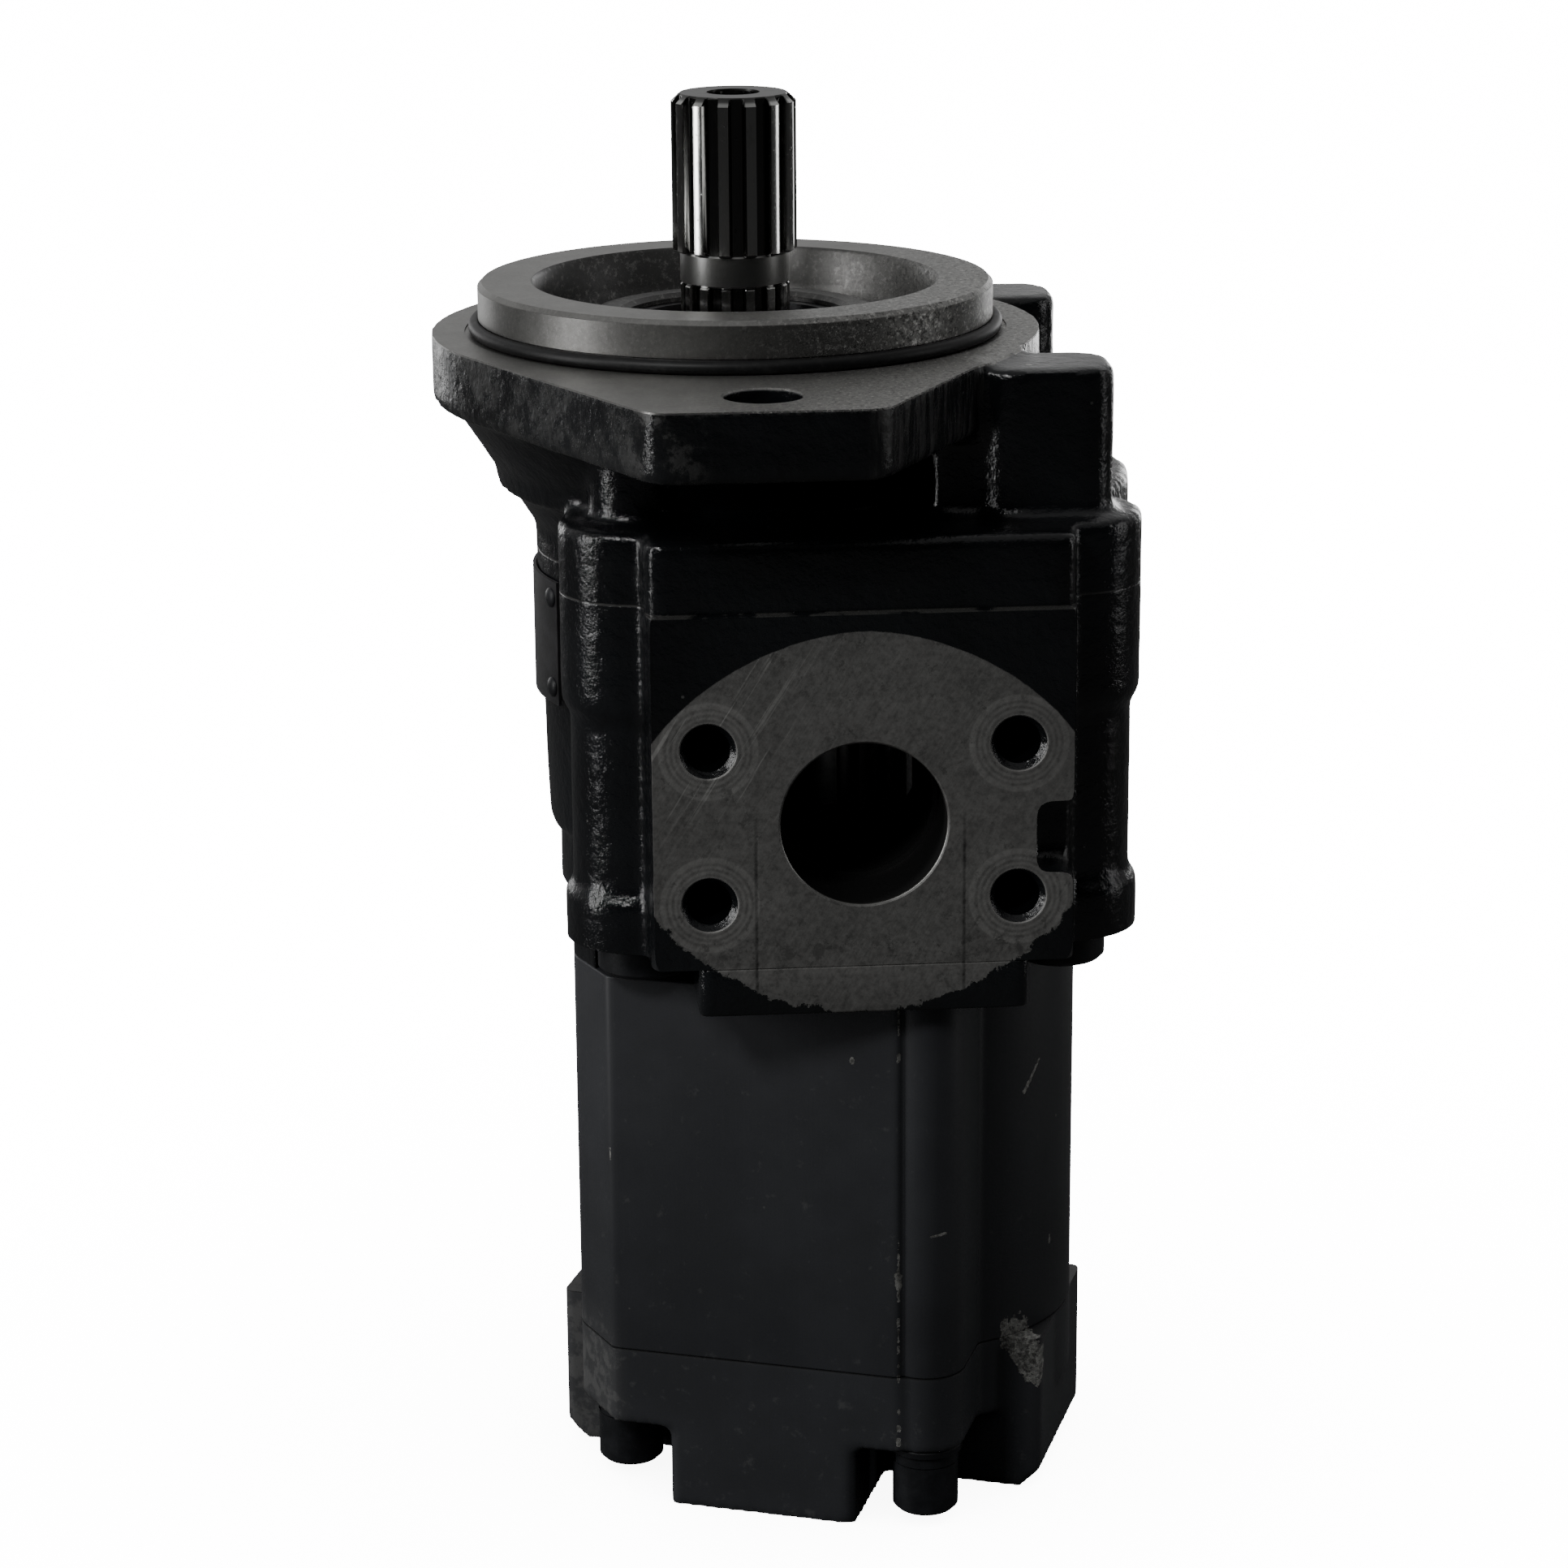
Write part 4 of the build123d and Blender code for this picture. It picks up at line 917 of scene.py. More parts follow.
@dataclass(frozen=True)
class SatinExtrusion:
    """Satin black paint on the extruded rear pump, chipped along its corners.

    Attributes:
        paint: Colour of the paint.
        metal: Colour of the bare aluminium in the chips.
        turn: Angle by which the rear pump is turned about the shaft's axis, in degrees.
        corner: The chipped corner of the front pad, before that turn, in millimetres.
        chips: Levels along that corner as (middle, half length, half width).
        knocked: Centre and size of the knocked-off corner of the cover's lug.
    """

    name: str = "satin_extrusion"
    paint: tuple[float, float, float] = (0.03, 0.0315, 0.036)
    metal: tuple[float, float, float] = (0.42, 0.42, 0.4)
    turn: float = -20.0
    corner: tuple[float, float] = (45.0, -47.0)
    chips: tuple[tuple[float, float, float], ...] = ()
    marks: tuple[tuple[tuple[float, float, float], tuple[float, float, float], float], ...] = ()
    knocked: tuple[tuple[float, float, float], tuple[float, float, float], float] = (
        (62.6, -20.4, -200.0), (67.6, -21.4, -207.0), 3.4)

    def from_mark(self, sh: Shader, place: Value, start: Sequence[float], end: Sequence[float]) -> Value:
        """Distance from a straight mark.

        Args:
            sh: The shader.
            place: The place, in the rear pump's own frame.
            start: The mark's start.
            end: Its end.

        Returns:
            The distance, in millimetres.
        """
        way = Vector(end) - Vector(start)
        length = way.length
        heading = tuple(way / length)
        offset = sh.vector_math("SUBTRACT", {0: place, 1: tuple(start)})
        along = sh.vector_math("DOT_PRODUCT", {0: offset, 1: heading}, "Value").most(0.0).least(length)
        nearest = sh.vector_math("SCALE", {0: heading, "Scale": along})
        return sh.vector_math("DISTANCE", {0: offset, 1: nearest}, "Value")

    def bare_spots(self, sh: Shader, local: Value) -> tuple[Value, Value]:
        """Chips and scratches down to the metal, and the knocked corner alone."""
        ragged = sh.grain(1.3, 4.0, 0.7) - 0.5
        bare = None
        lines = [
            ((*self.corner, middle - half), (*self.corner, middle + half), wide)
            for middle, half, wide in self.chips]
        for start, end, wide in [*lines, *self.marks]:
            away = self.from_mark(sh, local, start, end) / wide
            one = (away + ragged * 2.4).below(1.0)
            bare = one if bare is None else bare.most(one)
        lump = sh.grain(3.0, 5.0, 0.7) - 0.5
        broken = (self.from_mark(sh, local, *self.knocked[:2]) + lump * 7.0).below(self.knocked[2])
        return bare.most(broken), broken

    def build(self) -> bpy.types.Material:
        """Make the material."""
        sh = Shader(self.name)
        local = sh.turned(-self.turn)
        u, _, w = sh.split(local)
        bare, broken = self.bare_spots(sh, local)
        cloud = sh.grain(28.0, 4.0, 0.6)
        fine = sh.grain(0.5, 2.0, 0.6)
        drawn = sh.grain(1.0, 3.0, 0.6, sh.stretched((1.3, 1.3, 0.02), local))
        low_left = u.ramp(-10.0, -16.0) * w.ramp(-190.0, -204.0)
        scuff = (sh.grain(3.4, 6.0, 0.72) + 0.13 * low_left + 0.04 * w.ramp(-195.0, -210.0)).ramp(0.6, 0.74)
        speck = sh.cells(9.0).ramp(0.04, 0.02) * sh.grain(24.0).ramp(0.48, 0.6)
        seam = abs(w + 200.7).ramp(0.4, 0.1)
        paint = sh.mix(cloud.ramp(0.35, 0.65), tuple(part * 0.8 for part in self.paint), self.paint)
        paint = sh.mix(low_left * 0.25, paint, (0.1, 0.1, 0.098))
        paint = sh.mix(scuff * (0.2 + 0.16 * low_left), paint, (0.13, 0.13, 0.125))
        paint = sh.mix(speck * 0.6, paint, (0.2, 0.2, 0.19))
        paint = sh.mix(seam * 0.7, paint, (0.006, 0.006, 0.006))
        rough_metal = sh.grain(1.2, 5.0, 0.75)
        metal = sh.mix(rough_metal.ramp(0.35, 0.65), tuple(p * 0.2 for p in self.metal), self.metal)
        colour = sh.mix(bare, paint, metal)
        normal = sh.bump(fine, 0.008)
        normal = sh.bump(drawn - seam * 2.0, 0.014, normal)
        normal = sh.bump(rough_metal * broken - bare * 0.15, 0.9, normal)
        rough = 0.42 + 0.1 * cloud + 0.14 * scuff + 0.05 * fine
        return sh.finish(
            Base_Color=colour, Metallic=bare * 0.45, Roughness=rough.clamped(), Normal=normal,
            Specular_IOR_Level=0.5)


@dataclass(frozen=True)
class WorkedSteel:
    """Steel that was turned, ground or hardened.

    Attributes:
        name: The material's name.
        colour: Its colour.
        rough: Its roughness.
        lines: Depth of the turning lines, in millimetres.
        stain: How strongly it is stained, from 0 to 1.
    """

    name: str
    colour: tuple[float, float, float] = (0.5, 0.5, 0.49)
    rough: float = 0.22
    lines: float = 0.006
    stain: float = 0.3

    def build(self) -> bpy.types.Material:
        """Make the material."""
        sh = Shader(self.name)
        cloud = sh.grain(6.0, 5.0, 0.65)
        ring = sh.grain(1.0, 2.0, 0.6, sh.stretched((0.02, 0.02, 4.5)))
        drawn = sh.grain(1.0, 2.0, 0.6, sh.stretched((2.5, 2.5, 0.06)))
        spot = sh.grain(1.6, 4.0, 0.7).ramp(0.6, 0.72)
        dark = tuple(part * 0.45 for part in self.colour)
        colour = sh.mix((cloud.ramp(0.42, 0.72) * self.stain).clamped(), self.colour, dark)
        colour = sh.mix(spot * self.stain * 0.8, colour, tuple(part * 0.2 for part in self.colour))
        normal = sh.bump(ring, self.lines)
        normal = sh.bump(drawn, self.lines * 0.6, normal)
        rough = self.rough + 0.12 * cloud.ramp(0.4, 0.7) + 0.2 * spot * self.stain
        return sh.finish(Base_Color=colour, Metallic=1.0, Roughness=rough.clamped(), Normal=normal)


@dataclass(frozen=True)
class NeckSteel(WorkedSteel):
    """Ground shaft steel: bright splines with painted shade in their roots, and a dull neck and root band
    between two levels.

    Attributes:
        dull_low: Lower end of the dull neck, in millimetres.
        dull_high: Upper end of the dull neck, in millimetres.
    """

    dull_low: float = 9.0
    dull_high: float = 15.4

    def build(self) -> bpy.types.Material:
        """Make the material."""
        sh = Shader(self.name)
        cloud = sh.grain(5.0, 5.0, 0.65)
        neck = sh.z.above(self.dull_low) * sh.z.below(self.dull_high)
        end = sh.z.above(45.6)
        drawn = sh.grain(1.0, 2.0, 0.6, sh.stretched((3.0, 3.0, 0.05)))
        ring = sh.grain(1.0, 2.0, 0.6, sh.stretched((0.02, 0.02, 5.0)))
        smear = sh.grain(3.0, 4.0, 0.7, sh.stretched((1.0, 1.0, 0.35))).ramp(0.55, 0.75)
        speck = sh.grain(0.9, 4.0, 0.75).ramp(0.62, 0.72)
        dull = (neck + end).clamped()
        radius = (sh.x * sh.x + sh.y * sh.y) ** 0.5
        # painted shade: the roots between the spline teeth, on the output end and on the tail, are darkened
        # almost to black
        root_shade = sh.z.above(self.dull_high) * radius.ramp(11.9, 11.2)
        root_shade = root_shade.most(sh.z.below(self.dull_low) * radius.ramp(10.5, 10.0))
        dark = tuple(part * 0.3 for part in self.colour)
        colour = sh.mix(dull * 0.62, self.colour, dark)
        colour = sh.mix(smear * 0.35, colour, dark)
        colour = sh.mix(root_shade * 0.85, colour, tuple(part * 0.06 for part in self.colour))
        colour = sh.mix(speck * (0.2 + 0.5 * dull), colour, tuple(part * 0.12 for part in self.colour))
        normal = sh.bump(drawn * (1 - dull) + ring * dull, self.lines)
        normal = sh.bump(speck, 0.01, normal)
        rough = self.rough + 0.1 * smear + 0.05 * cloud + 0.22 * dull
        return sh.finish(Base_Color=colour, Metallic=1.0, Roughness=rough.clamped(), Normal=normal)


@dataclass(frozen=True)
class MouldedRubber:
    """Black seal rubber with a faint bloom."""

    name: str = "moulded_rubber"

    def build(self) -> bpy.types.Material:
        """Make the material."""
        sh = Shader(self.name)
        bloom = sh.grain(3.0, 4.0, 0.6)
        colour = sh.mix(bloom.ramp(0.45, 0.8), (0.006, 0.006, 0.0065), (0.02, 0.02, 0.02))
        normal = sh.bump(sh.grain(0.35, 2.0), 0.01)
        rough = 0.38 + 0.2 * bloom
        return sh.finish(
            Base_Color=colour, Roughness=rough.clamped(), Normal=normal, Specular_IOR_Level=0.35)


@dataclass(frozen=True)
class PaintedSteel:
    """Black paint on screws, washers and the nameplate, rubbed on the edges.

    Attributes:
        name: The material's name.
        colour: Colour of the paint.
        rough: Roughness of the paint.
    """

    name: str = "painted_steel"
    colour: tuple[float, float, float] = (0.009, 0.0095, 0.011)
    rough: float = 0.34

    def build(self) -> bpy.types.Material:
        """Make the material."""
        sh = Shader(self.name)
        cloud = sh.grain(5.0, 4.0, 0.6)
        rub = sh.grain(1.5, 4.0, 0.7).ramp(0.66, 0.74)
        colour = sh.mix(cloud.ramp(0.4, 0.7), self.colour, tuple(part * 1.8 for part in self.colour))
        colour = sh.mix(rub * 0.4, colour, (0.1, 0.1, 0.095))
        normal = sh.bump(sh.grain(0.8, 3.0), 0.03)
        rough = self.rough + 0.16 * cloud + 0.15 * rub
        return sh.finish(
            Base_Color=colour, Metallic=rub * 0.4, Roughness=rough.clamped(), Normal=normal,
            Specular_IOR_Level=0.3)


@dataclass(frozen=True)
class Porous:
    """Plain bearing metal: machined aluminium or sintered bronze.

    Attributes:
        name: The material's name.
        colour: Its colour.
    """

    name: str
    colour: tuple[float, float, float]

    def build(self) -> bpy.types.Material:
        """Make the material."""
        sh = Shader(self.name)
        pores = sh.grain(0.6, 3.0, 0.7).ramp(0.56, 0.7)
        cloud = sh.grain(8.0, 4.0)
        dark = tuple(part * 0.5 for part in self.colour)
        colour = sh.mix(cloud.ramp(0.35, 0.7) * 0.5, self.colour, dark)
        colour = sh.mix(pores * 0.6, colour, tuple(part * 0.3 for part in self.colour))
        normal = sh.bump(1 - pores, 0.01)
        rough = 0.34 + 0.2 * pores + 0.1 * cloud
        return sh.finish(Base_Color=colour, Metallic=1.0, Roughness=rough.clamped(), Normal=normal)


class Palette:
    """Every finish of the pump, made once."""

    def __init__(self) -> None:
        """Make the materials."""
        self.casting = GlossCasting().build()
        self.plate = GlossCasting("gloss_plate").build()
        self.extrusion = SatinExtrusion(
            chips=(
                (-126.0, 2.6, 0.35), (-133.4, 0.5, 0.45), (-172.4, 2.0, 0.28), (-177.2, 2.8, 0.32),
                (-180.3, 1.2, 0.8), (-183.2, 0.9, 0.45), (-188.7, 0.6, 0.4), (-191.6, 1.3, 0.3),
                (-194.6, 0.6, 0.4), (-197.6, 0.5, 0.32), (-200.9, 0.5, 0.4), (-207.9, 0.3, 0.3),
                (-211.5, 0.4, 0.45), (-214.6, 0.5, 0.5)),
            marks=(
                ((63.7, -18.3, -148.8), (64.6, -16.6, -146.4), 0.45),
                ((64.6, -16.6, -146.4), (65.8, -14.4, -143.1), 0.3),
                ((51.2, -46.1, -170.3), (53.8, -44.3, -169.8), 0.32),
                ((67.5, -10.1, -184.0), (67.5, -10.1, -182.6), 0.35),
                ((35.6, -47.0, -134.8), (35.6, -47.0, -134.3), 0.5),
                ((-14.3, -47.0, -160.0), (-14.3, -47.0, -157.6), 0.3))).build()
        self.shaft = NeckSteel("ground_shaft", (0.46, 0.46, 0.45), 0.09, 0.003, 0.3).build()
        self.steel = WorkedSteel("ground_pins", (0.5, 0.5, 0.49), 0.25).build()
        self.gear = WorkedSteel("hardened_gears", (0.34, 0.34, 0.34), 0.3, 0.006, 0.4).build()
        self.spring = WorkedSteel("dark_spring", (0.1, 0.1, 0.105), 0.35, 0.004, 0.3).build()
        self.rubber = MouldedRubber().build()
        self.fastener = PaintedSteel().build()
        self.tag = PaintedSteel("painted_tag", (0.014, 0.014, 0.015), 0.4).build()
        self.aluminium = Porous("bearing_aluminium", (0.6, 0.61, 0.62)).build()
        self.bronze = Porous("bush_bronze", (0.5, 0.36, 0.17)).build()


# ---------------------------------------------------------------- sub-assemblies
@dataclass
class ShaftEnd:
    """Drive shaft, its seal, its retaining ring and the cord ring round the pilot.

    Attributes:
        palette: The finishes.
        teeth: Teeth of the output spline.
        tip: Tip radius of the output spline, in millimetres.
        root: Root radius.
        tip_half: Half the angle of a tooth's tip, in degrees.
        root_half: Half the angle of a tooth's foot.
        first: Angle of one tooth's middle.
        bevel: Bevel at the shaft's end.
    """

    palette: Palette
    teeth: int = 14
    tip: float = 12.25
    root: float = 10.6
    tip_half: float = 4.8
    root_half: float = 7.0
    first: float = -77.7
    bevel: float = 1.6
    samples: int = 30

    def tooth_radius(self, angle: float, tip: float, root: float) -> float:
        """Radius of the splined outline at an angle, with eased corners.

        Args:
            angle: Degrees round the shaft.
            tip: Tip radius.
            root: Root radius.

        Returns:
            The radius, in the units of tip and root.
        """
        pitch = 360.0 / self.teeth
        away = abs((angle - self.first + pitch / 2) % pitch - pitch / 2)
        share = (away - self.tip_half) / (self.root_half - self.tip_half)
        share = min(1.0, max(0.0, share))
        eased = share * share * (3 - 2 * share)
        return tip + (root - tip) * (0.35 * share + 0.65 * eased)

    def ring(self, level: float, tip: float, root: float, limit: float) -> list[Vector]:
        """Ring of the splined outline at a level, cut back to a turned radius."""
        points = []
        count = self.teeth * self.samples
        for index in range(count):
            angle = 360.0 * index / count
            radius = min(limit, self.tooth_radius(angle, tip, root)) * MM
            turn = math.radians(angle)
            points.append(Vector((radius * math.cos(turn), radius * math.sin(turn), level * MM)))
        return points

    def build_shaft(self) -> None:
        """Loft the shaft through its turned and splined stations and drill its centre."""
        low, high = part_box("drive_shaft")
        end, tail_end = high.z / MM, low.z / MM
        foot, neck_foot, neck = 15.3, 9.1, 10.8
        tail_tip, tail_root = 10.75, 9.4
        stations = [
            (tail_end, tail_tip, tail_root, tail_tip - 1.0),
            (tail_end + 1.0, tail_tip, tail_root, tail_tip),
            (neck_foot - 0.5, tail_tip, tail_root, tail_tip),
            (neck_foot - 0.1, tail_tip, tail_root, tail_tip - 0.4),
            (neck_foot, neck, neck, neck - 0.3),
            (neck_foot + 0.3, neck, neck, neck),
            (foot - 0.35, neck, neck, neck),
            (foot, neck, neck, neck - 0.25),
            (foot, self.tip, self.root, self.tip - 0.5),
            (foot + 0.4, self.tip, self.root, self.tip),
            (end - self.bevel, self.tip, self.root, self.tip),
            (end - 0.25, self.tip, self.root, self.tip - self.bevel + 0.15),
            (end, self.tip, self.root, self.tip - self.bevel - 0.2),
        ]
        shaft = loft("splined_shaft", [self.ring(*station) for station in stations])
        centre = turned("centre", [
            (0, end + 1), (5.4, end + 1), (5.2, end - 0.05), (5.2, end - 2.2), (4.0, end - 2.2),
            (1.6, end - 5.0), (1.6, end - 7.5), (0, end - 8.4)], 64)
        carve(shaft, [centre])
        dress(shaft, self.palette.shaft, 24.0)
        install(shaft, Body.DRIVE_TRAIN, Slot.GROUND_STEEL, "drive_shaft")

    def build_seal(self) -> None:
        """Lip seal with a rolled lip, and the cord ring at the pilot's foot."""
        low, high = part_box("shaft_seal")
        outer, bottom, top = high.x / MM, low.z / MM, high.z / MM
        seal = turned("lip_seal", [
            (outer, bottom), (outer, top - 0.6), (outer - 0.6, top), (20.3, top), (19.9, top - 0.5),
            (19.7, -4.6), (18.6, -5.6), (17.0, -5.5), (16.2, -4.4), (16.1, -2.0), (15.6, -0.9),
            (14.9, -0.7), (14.4, -1.1), (14.05, -2.4), (14.3, -4.2), (14.5, bottom)], 96)
        dress(seal, self.palette.rubber)
        install(seal, Body.HOUSING, Slot.RUBBER, "shaft_seal")
        low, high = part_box("pilot_cord_ring")
        section = (high.z - low.z) / 2 / MM
        middle = high.x / MM - section
        circle = [
            (middle + section * math.cos(a), low.z / MM + section + section * math.sin(a))
            for a in (2 * math.pi * i / 20 for i in range(20))]
        cord = turned("pilot_cord", circle, 256)
        dress(cord, self.palette.rubber, 60.0)
        install(cord, Body.HOUSING, Slot.RUBBER, "pilot_cord_ring")

    def build(self) -> None:
        """Make every piece of the shaft end."""
        self.build_shaft()
        self.build_seal()
        ring = frame["nodes"]["seal_retaining_ring"]
        dress_node(ring, self.palette.spring, Slot.SPRING_STEEL)


def dress_node(node: bpy.types.Object, material: bpy.types.Material, slot: Slot) -> None:
    """Give a CAD node that stays in view its finish."""
    if not node.material_slots:
        node.data.materials.append(material)
    for place in node.material_slots:
        place.material = material
    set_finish(node, slot.value)
    LOG.info("%s: CAD node kept", node.name)


@dataclass
class FrontPump:
    """Castings of the front pump.

    Attributes:
        palette: The finishes.
        voxel: Face size of the castings, in metres.
        rounds: How often their skin is eased.
        waviness: Unevenness of their skin, in metres.
        flange: Thickness of the flange, in millimetres.
    """

    palette: Palette
    voxel: float = 1.15 * MM
    rounds: int = 9
    waviness: float = 0.09 * MM
    flange: float = 13.5

    def build_cover(self) -> None:
        """Cast the shaft-end cover, then face, turn and drill it."""
        node = "shaft_end_cover"
        low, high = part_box(node)
        pilot_top, bottom = high.z / MM, low.z / MM
        pilot, cavity = mount("pilot")[2]["r_mm"], 39.6
        flange_loop = outline_of(node, Axis.Z, -0.3 * MM)
        holes = mount("mounting_holes")[2]
        spots = [side * holes["spacing_y_mm"] / 2 for side in (-1, 1)]
        stock = [
            node_copy(node),
            prism("face_stock", flange_loop, Axis.Z, -4 * MM, 1.6 * MM),
            turned("pilot_stock", [(0, -12), (pilot + 1.6, -3), (pilot + 1.6, pilot_top + 1.6),
                                   (0, pilot_top + 1.6)]),
            turned("bore_stock", [(0, bottom - 3), (25, bottom - 3), (25, 0), (0, 0)]),
            self.joint_stock(node, bottom + 1.5, bottom - 3, bottom + 2),
        ]
        for y in spots:
            start = Vector((0, y * MM, -self.flange * MM))
            stock.append(pin("hole_stock", start, UP, (self.flange + 1.6) * MM, 9 * MM))
        cover = as_cast("end_cover_casting", stock, self.voxel, self.rounds, self.waviness)
        turning = turned("turning", [
            (pilot, 0.0), (pilot, pilot_top - 0.9), (pilot - 0.9, pilot_top), (0, pilot_top),
            (0, pilot_top + 6), (150, pilot_top + 6), (150, 0.0)], 256)
        hollow = turned("hollow", [
            (0, pilot_top + 2), (cavity + 0.5, pilot_top + 2), (cavity + 0.5, pilot_top),
            (cavity, pilot_top - 0.6), (cavity - 0.7, 2.6), (cavity - 1.4, 0.2), (cavity - 3.0, -1.5),
            (cavity - 5.0, -2.0), (33.4, -2.0), (31.8, -1.0), (29.0, 2.2), (27.8, 3.2), (26.4, 3.5),
            (22.9, 3.5), (22.0, 2.6), (22.0, 1.75), (23.2, 1.75), (23.2, 0.15), (22.0, 0.15),
            (22.0, -8.2), (14.6, -8.2), (14.6, bottom - 2), (0, bottom - 2)], 192)
        relief_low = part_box("pilot_cord_ring")[0].z / MM - 0.02
        relief = turned("relief", [(49.9, relief_low), (53.5, relief_low), (53.5, 2.6), (49.9, 2.6)], 256)
        cutters = [turning, relief, hollow, slab("joint_mill", (-150, -150, bottom - 20), (150, 150, bottom))]
        for y in spots:
            start = Vector((0, y * MM, -(self.flange + 4) * MM))
            radius = holes["hole_r_mm"] * MM
            cutters.append(pin("hole", start, UP, (self.flange + 8) * MM, radius))
            mouth = Vector((0, y * MM, -0.5 * MM))
            cutters.append(pin("mouth", mouth, UP, 1.0 * MM, radius, radius + 1.0 * MM))
        for box in solids_of("front_bolts"):
            cutters.append(
                axis_pin("bolt_hole", box, (bottom - 3) * MM, box[1].z + 0.8 * MM, 6.05 * MM))
        carve(cover, cutters)
        dress(cover, self.palette.casting, 38.0)
        install(cover, Body.HOUSING, Slot.CASTING, node)

    def joint_stock(self, node: str, section: float, start: float, end: float) -> bpy.types.Object:
        """Stock of a casting's outline past a joint plane, so that the joint is milled sharp.

        Args:
            node: The CAD node.
            section: Level of the outline, in millimetres.
            start: Lower end of the stock.
            end: Upper end of the stock.

        Returns:
            The stock.
        """
        return prism("joint_stock", outline_of(node, Axis.Z, section * MM), Axis.Z, start * MM, end * MM)

    def port_cutters(self, port: str, bolts: str, reach: float) -> list[bpy.types.Object]:
        """Cutters for a port's bore and its four tapped holes.

        Args:
            port: Name of the bore mount.
            bolts: Name of the bolt pattern mount.
            reach: Distance of the port's face from the shaft's axis, in millimetres.

        Returns:
            The cutters.
        """
        place, way, sizes = mount(port)
        centre, _, pattern = mount(bolts)
        face = Vector((place.x, way.y * reach * MM, place.z))
        inward = -way
        radius, depth = sizes["r_mm"] * MM, sizes["length_mm"] * MM
        cutters = [
            pin("bore", face - inward * 3 * MM, inward, depth + 3 * MM, radius, count=128),
            pin("throat", face + inward * (depth - 1 * MM), inward, (reach - 8) * MM - depth, radius * 0.945,
                count=128),
            pin("bore_mouth", face - inward * 0.4 * MM, inward, 0.8 * MM, radius + 0.8 * MM, radius,
                count=128)]
        tap = pattern["hole_r_mm"] * MM
        for i in (-1, 1):
            for j in (-1, 1):
                spot = Vector((
                    centre.x + i * pattern["spacing_x_mm"] / 2 * MM, face.y,
                    centre.z + j * pattern["spacing_y_mm"] / 2 * MM))
                cutters.append(pin("tap", spot - inward * 3 * MM, inward, 23 * MM, tap))
                cutters.append(pin(
                    "tap_mouth", spot - inward * 0.6 * MM, inward, 2.2 * MM, tap + 1.9 * MM, tap - 0.3 * MM))
        return cutters

    def build_housing(self) -> None:
        """Cast the gear housing, then mill its port faces and bore it."""
        node = "gear_housing"
        low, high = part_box(node)
        reach = high.y / MM
        gears = ("front_drive_gear", "front_idler_gear")
        stock = [node_copy(node)]
        for gear in gears:
            radius = gear_radius(gear) + 2.5 * MM
            stock.append(axis_pin("chamber_stock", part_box(gear), low.z, high.z, radius))
        bottom, top = low.z / MM, high.z / MM
        stock.append(slab("port_stock", (-6, -reach - 1.6, bottom + 3), (44, reach + 1.6, -60)))
        stock.append(self.joint_stock(node, bottom + 1.2, bottom - 3, bottom + 2))
        stock.append(self.joint_stock(node, top - 1.2, top - 2, top + 3))
        for side in (-1, 1):
            face = outline_of(node, Axis.Y, side * (reach - 1.0) * MM)
            start, end = sorted((side * (reach - 5) * MM, side * (reach + 1.6) * MM))
            stock.append(prism("face_stock", face, Axis.Y, start, end))
        for box in solids_of("front_bolts"):
            stock.append(axis_pin("bolt_stock", box, low.z, high.z, 8 * MM))
        housing = as_cast("gear_housing_casting", stock, self.voxel, self.rounds, self.waviness)
        cutters = [
            slab("front_mill", (-60, -reach - 20, -140), (100, -reach, -20)),
            slab("back_mill", (-60, reach, -140), (100, reach + 20, -20)),
            slab("bottom_mill", (-150, -150, bottom - 20), (150, 150, bottom)),
            slab("top_mill", (-150, -150, top), (150, 150, top + 20))]
        cutters += self.port_cutters("inlet_port", "inlet_bolts", reach)
        cutters += self.port_cutters("outlet_port", "outlet_bolts", reach)
        below, over = low.z - 3 * MM, high.z + 3 * MM
        for gear in gears:
            radius = gear_radius(gear) + 0.1 * MM
            cutters.append(axis_pin("chamber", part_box(gear), below, over, radius))
        for box in solids_of("front_bolts"):
            cutters.append(axis_pin("bolt_hole", box, below, over, 6.3 * MM))
        carve(housing, cutters)
        dress(housing, self.palette.casting, 38.0)
        install(housing, Body.HOUSING, Slot.CASTING, node)

    def build(self) -> None:
        """Make the front pump's castings."""
        self.build_cover()
        self.build_housing()
        dress_node(frame["nodes"]["nameplate"], self.palette.tag, Slot.PLATE)


